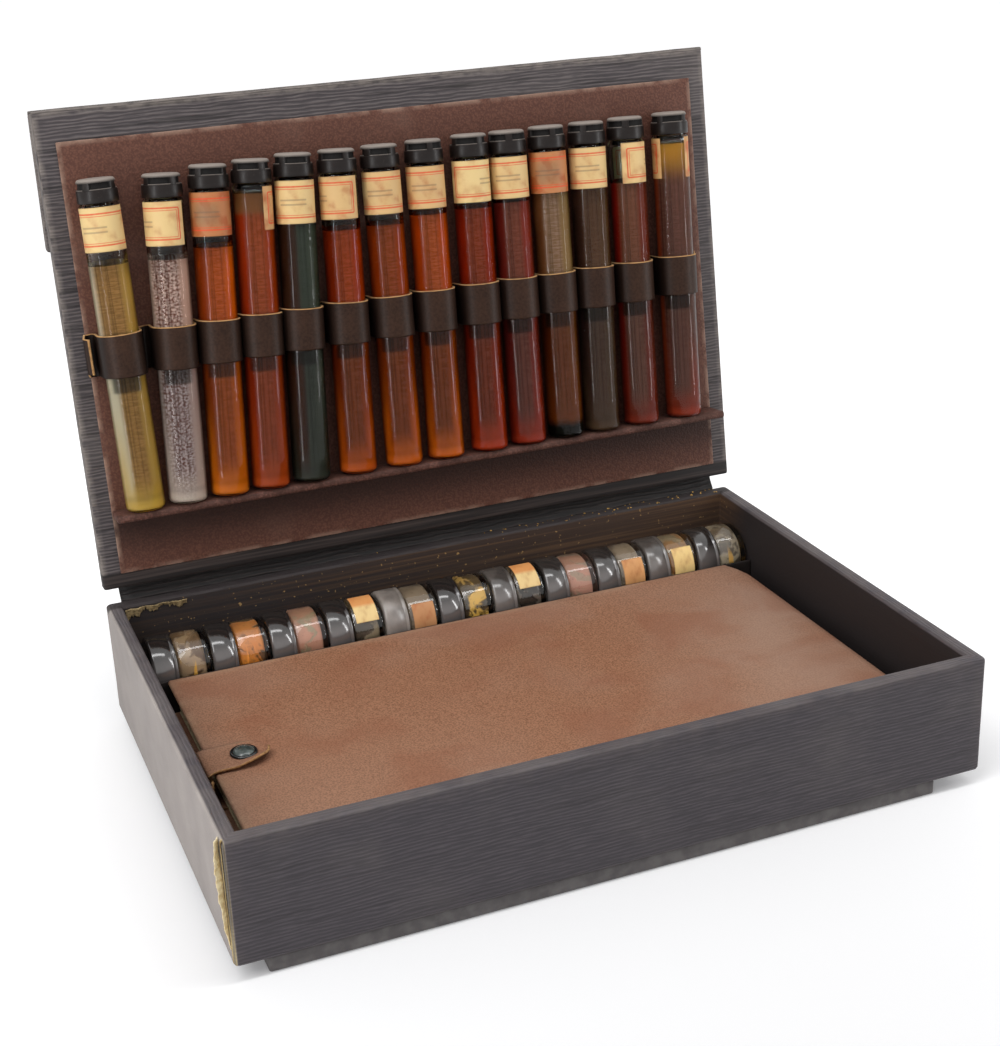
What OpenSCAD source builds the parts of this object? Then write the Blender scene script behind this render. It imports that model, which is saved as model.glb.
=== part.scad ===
// Salesman's sample case: a covered tray with a lid that opens on a cloth hinge.
// Oil vials stand in strap loops inside the lid, grease jars lie in a trough at the
// back of the tray, and a snap-strap folder lies in front of them.
// X runs along the front, the front faces -Y and Z is up. The origin is on the
// table, under the middle of the tray. The lid is modelled open, as it stands.

/* [Oil vials] */
// Outside diameter of a vial's glass
vial_d = 16.6; // [14:0.1:20]
// Height of a vial's glass from its foot to the rim of its cap
vial_h = 130.5; // [110:0.5:150]
// Thickness of a vial's glass
vial_wall = 1.1; // [0.8:0.1:1.6]
// Rounding of a vial's foot
vial_heel = 1.6; // [0.8:0.1:2.5]
// Height of the threaded neck inside a cap
neck_h = 7.5; // [5:0.5:8]
// How far the neck steps in from the glass
neck_step = 1.8; // [1.4:0.1:2.4]

/* [Vial caps] */
// How far a cap stands out past the glass, all round
cap_lip = 0.2; // [0.1:0.05:0.6]
// Height of a cap
cap_h = 10; // [9.5:0.1:13]
// Height of the straight skirt of a cap
cap_skirt = 5.4; // [4:0.1:6.5]
// How far the crown of a cap draws in, all round
cap_draw = 0.7; // [0.4:0.1:0.9]
// Number of grip notches round a crown
cap_notches = 6; // [4:1:8]
// Depth of a grip notch
notch_depth = 0.7; // [0.3:0.1:0.9]
// Free space between a neck and its cap
cap_clear = 0.3; // [0.2:0.05:0.5]

/* [Strap loops] */
// Width of the strap that holds the vials
strap_w = 18; // [12:1:24]
// Thickness of the strap
strap_t = 0.8; // [0.6:0.1:1.2]
// Free space between a vial and its loop
loop_clear = 0.3; // [0.2:0.05:0.6]
// Spare width tucked between two loops
loop_tuck = 0.7; // [0.5:0.1:3]
// Height of the strap's middle above the ledge
strap_rise = 67; // [50:0.5:85]
// Length of the strap's flat ends past the outer loops
strap_tab = 5; // [2:0.5:7]

/* [Lid] */
// Thickness of the lid board
lid_t = 6.5; // [5:0.1:9]
// Thickness of the lining panel in the lid
panel_t = 1; // [0.6:0.1:2]
// Width of bare border beside the lining panel
border_side = 8; // [7.5:0.5:14]
// Width of bare border at the hinge end
border_back = 6.5; // [4:0.5:12]
// Width of bare border at the front end
border_front = 12.6; // [8:0.2:18]
// Room between the end vials' axes and the panel's edge
row_end = 15.3; // [15.3:0.1:24]
// Room between the cap tops and the lid's front edge
head_room = 26.8; // [22:0.2:40]
// How far the ledge stands out over the jars, with the lid shut
ledge_drop = 1.5; // [0:0.1:3]
// Thickness of the ledge that the vials stand on
ledge_t = 3.4; // [2:0.1:5]
// How far the ledge stands out of the lining
ledge_reach = 14.6; // [10:0.2:15.6]
// How far the lid leans open from its closed place, in degrees
open_angle = 98.4; // [92:0.2:105]
// Distance from the lid's back edge to the hinge line
hinge_inset = 3; // [2:0.1:3.5]
// Strip of front rim that the closed lid leaves bare
front_reveal = 4; // [2:0.2:6]
// Free space under the closed lid
lid_gap = 0.3; // [0.2:0.05:0.6]

/* [Cloth hinges] */
// Thickness of the hinge cloth
cloth_t = 0.8; // [0.5:0.1:1]
// Thickness of the glue between the hinge cloth and the boards
cloth_glue = 0.1; // [0.05:0.05:0.3]
// Length of hinge cloth that is glued to the wall and to the lid
cloth_lap = 24; // [10:1:36]
// How far the hinge cloth stops short of the lid's ends
cloth_short = 7; // [2:0.5:14]

/* [Front flap] */
// Thickness of the flap that closes over the front
flap_t = 5; // [3:0.1:6]
// Free space between the closed flap and the front wall
flap_gap = 0.3; // [0.2:0.05:1]
// How far the closed flap stops above the tray's lower edge
flap_short = 0.5; // [0.2:0.1:3]

/* [Tray] */
// Thickness of the tray's walls
wall_t = 6.5; // [5:0.1:9]
// Thickness of the tray's bottom board
floor_t = 9; // [6:0.1:12]
// Height of the foot board under the tray
foot_h = 6.5; // [3:0.1:12]
// How far the foot board stands in from the left end
foot_left = 12; // [2:0.5:40]
// How far the foot board stands in from the right end
foot_right = 20; // [2:0.5:40]
// How far the foot board stands in from the front
foot_front = 1.5; // [0.5:0.5:20]
// How far the foot board stands in from the back
foot_back = 10; // [0.5:0.5:30]
// Thickness of the partition in front of the jars
partition_t = 1.5; // [1:0.1:4]
// How far the partition stays below the folder's top
partition_drop = 1; // [0.5:0.1:6]
// Thickness of the bed that the jars lie on, one piece with the partition
trough_bed = 2; // [1:0.1:3]

/* [Grease jars] */
// Outside diameter of a jar's cap
jar_d = 28.4; // [24:0.1:32]
// How far a jar's glass stays inside its cap, all round
jar_step = 0.5; // [0.3:0.1:1.2]
// Length of a jar over its cap
jar_len = 25.6; // [23:0.1:26]
// Length of a jar's cap
jar_cap_len = 10.8; // [9.5:0.1:13]
// Thickness of a jar's glass
jar_wall = 2; // [1.2:0.1:3]
// Rounding of a jar's heel
jar_heel = 2; // [1:0.1:3]
// Free space between two jars
jar_gap = 0.5; // [0.3:0.1:0.6]
// Free space in front of and behind a jar
jar_clear = 0.6; // [0.3:0.1:2]

/* [Folder] */
// Thickness of the closed folder
folder_t = 18; // [12:0.5:26]
// Thickness of the folder's boards
folder_board = 2.2; // [1.2:0.1:3]
// Thickness of the folder's soft spine
spine_t = 1; // [0.6:0.1:2]
// Gap between the folder and the left wall
folder_left = 10; // [8:0.5:18]
// Gap between the folder and the right wall
folder_right = 5; // [3:0.5:10]
// Gap in front of and behind the folder
folder_play = 0.6; // [0.4:0.1:3]
// How far the leaves stay inside the boards
leaf_margin = 3; // [1:0.5:8]

/* [Snap strap] */
// Width of the folder's snap strap
tongue_w = 20; // [14:0.5:26]
// Thickness of the snap strap
tongue_t = 1; // [0.8:0.1:1.6]
// How far the snap strap reaches over the cover
tongue_reach = 23.5; // [20:0.5:30]
// How far the snap strap stands out past the cover's edge
tongue_out = 3; // [2:0.1:4]
// Distance from the tray's front to the middle of the snap strap
tongue_place = 94; // [40:1:120]
// Diameter of the snap's cap
snap_d = 11; // [8:0.2:14]
// Height of the snap's cap
snap_h = 2.6; // [2.4:0.1:4]
// Diameter of the snap's stud
stud_d = 3.4; // [2.4:0.1:4]
// Height of the snap's stud above the cover
stud_h = 2.4; // [1.8:0.1:2.6]
// Free space round the stud
stud_clear = 0.6; // [0.4:0.1:1]

/* [Hidden] */
$fn = 64;
vial_n = 14;
jar_n = 11;
// Free space between loose flat pieces that lie on each other
seat = 0.2;
// Room left over the snap when the lid is shut
close_room = 0.5;
// Overshoot of a cut past the face that it opens
cut = 1;
// Shift of the vials' row to the left of the middle
row_shift = 2.4;
// Sideways place of each vial at the strap, off an even row
vial_stray = [0, 2.5, 1.6, 0, -1.6, -1.1, -0.6, -0.4, 0.8, -0.5, -1.5, -2.4, -2.4, 0];
// How much each vial is shorter than the tallest
vial_short = [1.4, 2.4, 0.8, 0.6, 0, 0.3, 0.3, 0.2, 0, 0.2, 0, 0.2, 0, 0];
// Sideways lean of each vial, in degrees, to the right at the cap
vial_lean = [-0.5, 3, 3.5, 3.5, 3.5, 2.5, 1.5, 1.5, 1.5, 1, 1, 1.5, 1, 1];

// Vials and the loops round them
vial_r = vial_d / 2;
cap_r = vial_r + cap_lip;
neck_r = vial_r - neck_step;
vial_reach = vial_h + cap_h;
axis_n = panel_t + loop_clear + cap_r;
loop_in = vial_r + loop_clear;
loop_out = loop_in + strap_t;
vial_pitch = 2 * (cap_r + loop_clear + strap_t) + loop_tuck;
row_len = (vial_n - 1) * vial_pitch;
vial_stack = axis_n + loop_out;

// Width of the case, for the vials' row and for the jars' row
jar_row = jar_n * jar_len + (jar_n - 1) * jar_gap;
width_for_vials = row_len + 2 * (row_end + border_side);
width_for_jars = jar_row + 2 * (jar_clear + wall_t);
case_w = max(width_for_vials, width_for_jars);
inner_w = case_w - 2 * wall_t;
panel_w = case_w - 2 * border_side;

// Depth of the case, from the jars' trough, the ledge over it and the vials
trough_w = jar_d + 2 * jar_clear;
ledge_u = wall_t + trough_w - hinge_inset - ledge_drop;
ledge_top = ledge_u + ledge_t;
strap_u = ledge_top + strap_rise;
lid_len = ledge_top + vial_reach + head_room;
case_d = hinge_inset + lid_len + front_reveal;
panel_len = lid_len - border_back - border_front;

// Heights in the tray
floor_z = foot_h + floor_t;
folder_z = floor_z + seat;
cover_top = folder_z + folder_t;
snap_top = cover_top + seat + tongue_t + snap_h;
rim_z = snap_top + close_room + vial_stack - lid_gap;
wall_h = rim_z - foot_h;

// Places in the tray
front_y = -case_d / 2;
back_y = case_d / 2;
trough_front = back_y - wall_t - trough_w;
partition_y = trough_front - partition_t;
jar_y = trough_front + trough_w / 2;
jar_z = floor_z + trough_bed + seat + jar_d / 2;
jar_start = inner_w / 2 - jar_clear - jar_row;
folder_x0 = -inner_w / 2 + folder_left;
folder_x1 = inner_w / 2 - folder_right;
spine_r = folder_t / 2;
board_x1 = folder_x1 - spine_r;
folder_y0 = front_y + wall_t + folder_play;
folder_y1 = partition_y - folder_play;
tongue_y = front_y + tongue_place;
snap_x = folder_x0 + tongue_reach - tongue_w / 2;

// The lid's hinge line, and the lid's inner back edge as it stands open
lean = open_angle - 90;
hinge_y = back_y;
hinge_z = rim_z + lid_gap + lid_t / 2;
lid_y = hinge_y - hinge_inset * cos(open_angle) - lid_t / 2 * sin(open_angle);
lid_z = hinge_z + hinge_inset * sin(open_angle) - lid_t / 2 * cos(open_angle);

// The flap's hinge line in the lid, and the flap as it hangs
flap_u = lid_len + front_reveal + flap_gap;
flap_n = -(lid_t + seat + flap_t);
flap_root = (flap_u - lid_len + seat) / cos(lean);
flap_len = wall_h + lid_gap - flap_short - flap_n - flap_root;
flap_axis = lid_point(flap_u, flap_n);

// A point of the lid as [Y, Z]: u runs up the lid, n stands out of its inner face
function lid_point(u, n) = [lid_y + u * sin(lean) - n * cos(lean), lid_z + u * cos(lean) + n * sin(lean)];

// Place of a vial's axis at the strap, from the middle of the lid
function vial_x(i) = (i - (vial_n - 1) / 2) * vial_pitch - row_shift + vial_stray[i];

// Length of a vial below the middle of the strap, so that its foot stands on the ledge
function vial_drop(i) = (strap_rise - seat - vial_r * sin(abs(vial_lean[i]))) / cos(vial_lean[i]);

// Height of a vial's glass up to the rim of its cap
function vial_top(i) = vial_h - vial_short[i];

// Left end of a jar
function jar_x(i) = jar_start + i * (jar_len + jar_gap);

// A box between two corners
module block(low, high) {
    translate(low) cube(high - low);
}

// Draws its children in the lid's own frame: X, then up the lid, then out of its inner face
module in_lid() {
    translate([0, lid_y, lid_z]) rotate([90 - lean, 0, 0]) children();
}

// Draws its children along a vial's axis, with Z up the vial from its foot
module along_vial(i) {
    in_lid()
        translate([vial_x(i), strap_u, axis_n])
            rotate([0, 0, -vial_lean[i]])
                translate([0, -vial_drop(i), 0])
                    rotate([-90, 0, 0]) children();
}

// Draws its children along a jar's axis, with Z from its cap to its foot
module along_jar(i) {
    translate([jar_x(i), jar_y, jar_z]) rotate([0, 90, 0]) children();
}

module foot_board() {
    color("#2b2a2c")
        block([-case_w / 2 + foot_left, front_y + foot_front, 0],
              [case_w / 2 - foot_right, back_y - foot_back, foot_h]);
}

module bottom_board() {
    color("#201f21")
        block([-inner_w / 2, front_y + wall_t, foot_h], [inner_w / 2, back_y - wall_t, floor_z]);
}

module front_wall() {
    color("#3a393c")
        block([-case_w / 2, front_y, foot_h], [case_w / 2, front_y + wall_t, rim_z]);
}

module back_wall() {
    color("#3a393c")
        block([-case_w / 2, back_y - wall_t, foot_h], [case_w / 2, back_y, rim_z]);
}

module side_wall(x0) {
    block([x0, front_y + wall_t, foot_h], [x0 + wall_t, back_y - wall_t, rim_z]);
}

module left_wall() {
    color("#6f6b69") side_wall(-case_w / 2);
}

module right_wall() {
    color("#3a393c") side_wall(case_w / 2 - wall_t);
}

module jar_partition() {
    top = cover_top - partition_drop;
    bed_back = back_y - wall_t;
    section = [
        [partition_y, floor_z], [bed_back, floor_z], [bed_back, floor_z + trough_bed],
        [trough_front, floor_z + trough_bed], [trough_front, top], [partition_y, top]
    ];
    color("#201f21")
        translate([-inner_w / 2, 0, 0])
            rotate([90, 0, 90]) linear_extrude(inner_w) polygon(section);
}

module lid_board() {
    color("#3a393c")
        in_lid() block([-case_w / 2, 0, -lid_t], [case_w / 2, lid_len, 0]);
}

module lid_panel() {
    color("#5b3f37")
        in_lid() block([-panel_w / 2, border_back, 0], [panel_w / 2, border_back + panel_len, panel_t]);
}

module vial_ledge() {
    color("#6b4a3f")
        in_lid() block([-panel_w / 2, ledge_u, panel_t], [panel_w / 2, ledge_top, panel_t + ledge_reach]);
}

// Cross-section of one loop: legs on the panel and a round over the vial
module loop_section(r, foot) {
    translate([0, axis_n]) circle(r);
    translate([-r, foot]) square([2 * r, axis_n - foot]);
}

// One loop's section drawn out along its vial
module loop(i, r, foot, width) {
    translate([vial_x(i), strap_u, 0])
        rotate([0, 0, -vial_lean[i]])
            rotate([90, 0, 0])
                linear_extrude(width, center = true) loop_section(r, foot);
}

module vial_strap() {
    ends = loop_out + strap_tab;
    color("#3d2f2b")
        in_lid() difference() {
            union() {
                for (i = [0 : vial_n - 1]) loop(i, loop_out, panel_t, strap_w);
                block([vial_x(0) - ends, strap_u - strap_w / 2, panel_t],
                      [vial_x(vial_n - 1) + ends, strap_u + strap_w / 2, panel_t + strap_t]);
            }
            for (i = [0 : vial_n - 1]) loop(i, loop_in, panel_t - cut, strap_w + 2 * vial_d);
        }
}

module lid_hinge_cloth() {
    low = lid_point(0, -lid_t - cloth_glue);
    low_out = lid_point(0, -lid_t - cloth_glue - cloth_t);
    high = lid_point(cloth_lap, -lid_t - cloth_glue);
    high_out = lid_point(cloth_lap, -lid_t - cloth_glue - cloth_t);
    wall_in = back_y + cloth_glue;
    wall_out = wall_in + cloth_t;
    section = [
        [wall_in, rim_z - cloth_lap], [wall_out, rim_z - cloth_lap], [wall_out, rim_z],
        low_out, high_out, high, low, [wall_in, rim_z]
    ];
    cloth_w = case_w - 2 * cloth_short;
    color("#2f2d2e")
        translate([-cloth_w / 2, 0, 0])
            rotate([90, 0, 90]) linear_extrude(cloth_w) polygon(section);
}

module front_flap() {
    color("#3a393c")
        block([-case_w / 2, flap_axis[0] - flap_t, flap_axis[1] - flap_root - flap_len],
              [case_w / 2, flap_axis[0], flap_axis[1] - flap_root]);
}

module flap_hinge_cloth() {
    color("#8b857f")
        in_lid() block([-case_w / 2, lid_len, flap_n - seat], [case_w / 2, lid_len + cloth_t, 0]);
}

module folder_back() {
    color("#7d5f50") {
        block([folder_x0, folder_y0, folder_z], [board_x1, folder_y1, folder_z + folder_board]);
        block([folder_x0 - tongue_t, tongue_y - tongue_w / 2, folder_z],
              [folder_x0, tongue_y + tongue_w / 2, cover_top - folder_board - seat]);
    }
}

module folder_leaves() {
    color("#d8cdb4")
        block([folder_x0 + leaf_margin, folder_y0 + leaf_margin, folder_z + folder_board],
              [board_x1 - leaf_margin, folder_y1 - leaf_margin, cover_top - folder_board - seat]);
}

module folder_spine() {
    color("#7d5f50")
        translate([board_x1, folder_y1, folder_z + spine_r])
            rotate([90, 0, 0]) linear_extrude(folder_y1 - folder_y0) difference() {
                circle(spine_r);
                circle(spine_r - spine_t);
                translate([-spine_r - cut, -spine_r - cut]) square([spine_r + cut, 2 * (spine_r + cut)]);
            }
}

module folder_cover() {
    color("#8d6b5a")
        block([folder_x0, folder_y0, cover_top - folder_board], [board_x1, folder_y1, cover_top]);
}

module snap_strap() {
    low = cover_top + seat;
    tip = folder_x0 + tongue_reach - tongue_w / 2;
    color("#7a5b4c") difference() {
        union() {
            block([folder_x0 - tongue_out, tongue_y - tongue_w / 2, low], [tip, tongue_y + tongue_w / 2, low + tongue_t]);
            translate([tip, tongue_y, low]) cylinder(h = tongue_t, d = tongue_w);
        }
        translate([snap_x, tongue_y, low - cut]) cylinder(h = tongue_t + 2 * cut, r = stud_d / 2 + stud_clear);
    }
}

module snap_cap() {
    dome = snap_d / 2;
    skirt = snap_h / 3;
    color("#262829")
        translate([snap_x, tongue_y, cover_top + seat + tongue_t]) difference() {
            union() {
                cylinder(h = skirt, r = dome);
                translate([0, 0, skirt]) cylinder(h = snap_h - skirt, r1 = dome, r2 = dome / 2);
            }
            translate([0, 0, -cut]) cylinder(h = stud_h - tongue_t + cut, r = stud_d / 2 + stud_clear);
        }
}

module snap_stud() {
    color("#4a4a4a")
        translate([snap_x, tongue_y, cover_top]) cylinder(h = stud_h, d = stud_d);
}

module vial(i) {
    inside = vial_r - vial_wall;
    neck_in = neck_r - vial_wall;
    rim = vial_top(i);
    shoulder = rim - neck_step;
    color("#b9855a")
        along_vial(i) rotate_extrude() difference() {
            union() {
                translate([0, vial_heel]) square([vial_r, shoulder - vial_heel]);
                square([vial_r - vial_heel, vial_heel]);
                translate([vial_r - vial_heel, vial_heel]) intersection() {
                    circle(vial_heel);
                    translate([0, -vial_heel]) square(vial_heel);
                }
                polygon([[0, shoulder], [vial_r, shoulder], [neck_r, rim], [0, rim]]);
                translate([0, rim]) square([neck_r, neck_h]);
            }
            translate([0, 2 * vial_wall]) square([inside, shoulder - 3 * vial_wall]);
            polygon([[0, shoulder - vial_wall], [inside, shoulder - vial_wall], [neck_in, rim - vial_wall],
                     [0, rim - vial_wall]]);
            translate([0, rim - vial_wall]) square([neck_in, neck_h + vial_wall + cut]);
        }
}

module vial_cap(i) {
    top = cap_h - seat;
    crown = top - cap_skirt;
    hole_r = neck_r + cap_clear;
    notch_w = cap_r * 0.5;
    color("#1d1d20")
        along_vial(i) translate([0, 0, vial_top(i) + seat]) difference() {
            rotate_extrude() polygon([
                [hole_r, 0], [cap_r, 0], [cap_r, cap_skirt], [cap_r - cap_draw, top], [0, top], [0, neck_h], [hole_r, neck_h]
            ]);
            for (a = [0 : 360 / cap_notches : 359])
                rotate([0, 0, a + 7])
                    translate([cap_r - cap_draw - notch_depth, -notch_w / 2, cap_skirt + crown * 0.2])
                        cube([cap_draw + notch_depth + cut, notch_w, crown * 0.5]);
        }
}

module jar(i) {
    cap_in = jar_d / 2 - jar_wall;
    glass_r = jar_d / 2 - jar_step;
    neck = cap_in - cap_clear;
    neck_z = jar_cap_len * 0.25;
    color("#222326")
        along_jar(i) difference() {
            cylinder(h = jar_cap_len, d = jar_d);
            translate([0, 0, jar_wall]) cylinder(h = jar_cap_len, r = cap_in);
        }
    color("#a8784a")
        along_jar(i) rotate_extrude() difference() {
            union() {
                translate([0, jar_cap_len + seat]) square([glass_r, jar_len - jar_cap_len - seat - jar_heel]);
                translate([0, jar_len - jar_heel]) square([glass_r - jar_heel, jar_heel]);
                translate([glass_r - jar_heel, jar_len - jar_heel]) intersection() {
                    circle(jar_heel);
                    square(jar_heel);
                }
                translate([0, neck_z]) square([neck, jar_cap_len - neck_z + cut]);
            }
            translate([0, -cut]) square([neck - jar_wall, jar_len - jar_wall + cut]);
        }
}

foot_board();
bottom_board();
front_wall();
back_wall();
left_wall();
right_wall();
jar_partition();
lid_board();
lid_panel();
vial_ledge();
vial_strap();
lid_hinge_cloth();
front_flap();
flap_hinge_cloth();
folder_back();
folder_leaves();
folder_spine();
folder_cover();
snap_strap();
snap_cap();
snap_stud();
for (i = [1 : vial_n])
    vial(i - 1);
for (i = [1 : vial_n])
    vial_cap(i - 1);
for (i = [1 : jar_n])
    jar(i - 1);
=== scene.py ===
"""Salesman's sample case, open: the finishes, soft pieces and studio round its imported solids."""

import logging
import math
import random
from dataclasses import dataclass, field, replace
from enum import Enum
from itertools import accumulate, pairwise
from typing import Callable, Iterable, Sequence

import bpy
from mathutils import Matrix, Vector, noise


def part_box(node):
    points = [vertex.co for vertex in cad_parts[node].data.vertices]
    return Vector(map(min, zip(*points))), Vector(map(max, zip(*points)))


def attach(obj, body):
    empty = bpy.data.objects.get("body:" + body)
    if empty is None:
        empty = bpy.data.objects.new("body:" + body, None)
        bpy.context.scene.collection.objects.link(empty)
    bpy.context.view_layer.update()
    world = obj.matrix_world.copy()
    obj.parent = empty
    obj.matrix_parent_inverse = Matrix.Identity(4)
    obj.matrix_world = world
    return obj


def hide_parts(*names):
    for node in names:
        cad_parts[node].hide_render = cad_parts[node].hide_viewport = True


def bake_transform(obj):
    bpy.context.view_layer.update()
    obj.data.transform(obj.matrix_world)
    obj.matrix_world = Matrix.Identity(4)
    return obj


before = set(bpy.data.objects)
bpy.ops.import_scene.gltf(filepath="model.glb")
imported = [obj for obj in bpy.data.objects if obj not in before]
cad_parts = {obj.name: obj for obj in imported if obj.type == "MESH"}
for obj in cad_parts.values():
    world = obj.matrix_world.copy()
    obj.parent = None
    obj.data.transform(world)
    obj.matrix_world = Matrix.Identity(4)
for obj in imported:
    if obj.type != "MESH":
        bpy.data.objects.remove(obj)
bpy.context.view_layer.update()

LOG = logging.getLogger("sample_case")
MM = 0.001
TINY = 1e-9
MOST_ROUND = 0.49
X, Y, Z = Vector((1, 0, 0)), Vector((0, 1, 0)), Vector((0, 0, 1))

Point = tuple[float, float, float]
Colour = tuple[float, float, float]
Spot = tuple[float, float]


def tone(code: str) -> Colour:
    """Turns a hex tone as it looks into the linear colour that the shader takes."""
    parts = [int(code[i : i + 2], 16) / 255 for i in (0, 2, 4)]
    return tuple(p / 12.92 if p <= 0.04045 else ((p + 0.055) / 1.055) ** 2.4 for p in parts)


def shaded(code: str, gain: float, lift: float = 0.0) -> Colour:
    """Makes a hex tone lighter or darker."""
    return tuple(min(1.0, c * gain + lift) for c in tone(code))


class Finish(Enum):
    """The case's finishes, by name."""

    RIBBED = "ribbed_leatherette"
    RIBBED_LID = "ribbed_leatherette_lid"
    TRAY = "tray_covering"
    FOLD = "worn_fold"
    HINGE = "hinge_black"
    INSIDE = "inside_black"
    FOOT = "foot_black"
    PEBBLE = "pebbled_lining"
    LEDGE = "ledge_lining"
    STRAP = "strap_hide"
    RAW = "raw_edge"
    CUT = "cut_hide_edge"
    HIDE = "folder_hide"
    LEAVES = "folder_leaves"
    SNAP = "snap_enamel"
    DOME = "snap_dome"
    CAP = "cap_plastic"
    JAR_CAP = "jar_cap_plastic"
    GLASS = "clear_glass"
    JAR_GLASS = "jar_glass"
    STRAW = "straw_board"
    FRAYED = "frayed_cloth"
    CRUMB = "crumb"


class Laying(Enum):
    """How one colour lies on another."""

    OVER = "MIX"
    TIMES = "MULTIPLY"


class Cell(Enum):
    """How random cells meet."""

    SHARP = "F1"
    SOFT = "SMOOTH_F1"


class Wire:
    """One socket of a material, with arithmetic that adds the nodes it needs."""

    def __init__(self, graph: "Graph", socket: bpy.types.NodeSocket) -> None:
        """Keeps the socket and the graph that it is in."""
        self.graph = graph
        self.socket = socket

    def _math(self, operation: str, *values: "Wire | float") -> "Wire":
        """Adds one Math node.

        Args:
            operation: The node's operation.
            values: Its inputs, in order.

        Returns:
            The node's result.
        """
        return self.graph.add("ShaderNodeMath", {"operation": operation}, dict(enumerate(values)))

    def __add__(self, other: "Wire | float") -> "Wire":
        """Adds."""
        return self._math("ADD", self, other)

    def __radd__(self, other: float) -> "Wire":
        """Adds to a number."""
        return self._math("ADD", other, self)

    def __sub__(self, other: "Wire | float") -> "Wire":
        """Subtracts."""
        return self._math("SUBTRACT", self, other)

    def __rsub__(self, other: float) -> "Wire":
        """Subtracts from a number."""
        return self._math("SUBTRACT", other, self)

    def __mul__(self, other: "Wire | float") -> "Wire":
        """Multiplies."""
        return self._math("MULTIPLY", self, other)

    def __rmul__(self, other: float) -> "Wire":
        """Multiplies a number."""
        return self._math("MULTIPLY", other, self)

    def __abs__(self) -> "Wire":
        """Drops the sign."""
        return self._math("ABSOLUTE", self)

    def low(self, other: "Wire | float") -> "Wire":
        """Takes the smaller value."""
        return self._math("MINIMUM", self, other)

    def high(self, other: "Wire | float") -> "Wire":
        """Takes the larger value."""
        return self._math("MAXIMUM", self, other)

    def sine(self) -> "Wire":
        """Takes the sine."""
        return self._math("SINE", self)

    def step(self, start: float, end: float) -> "Wire":
        """Rises smoothly from 0 to 1.

        Args:
            start: Value where the rise starts.
            end: Value where it ends; smaller than start for a fall.

        Returns:
            The smooth step.
        """
        inputs = {"Value": self, "From Min": min(start, end), "From Max": max(start, end)}
        rise = self.graph.add("ShaderNodeMapRange", {"interpolation_type": "SMOOTHSTEP"}, inputs)
        return rise if start < end else 1 - rise


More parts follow.
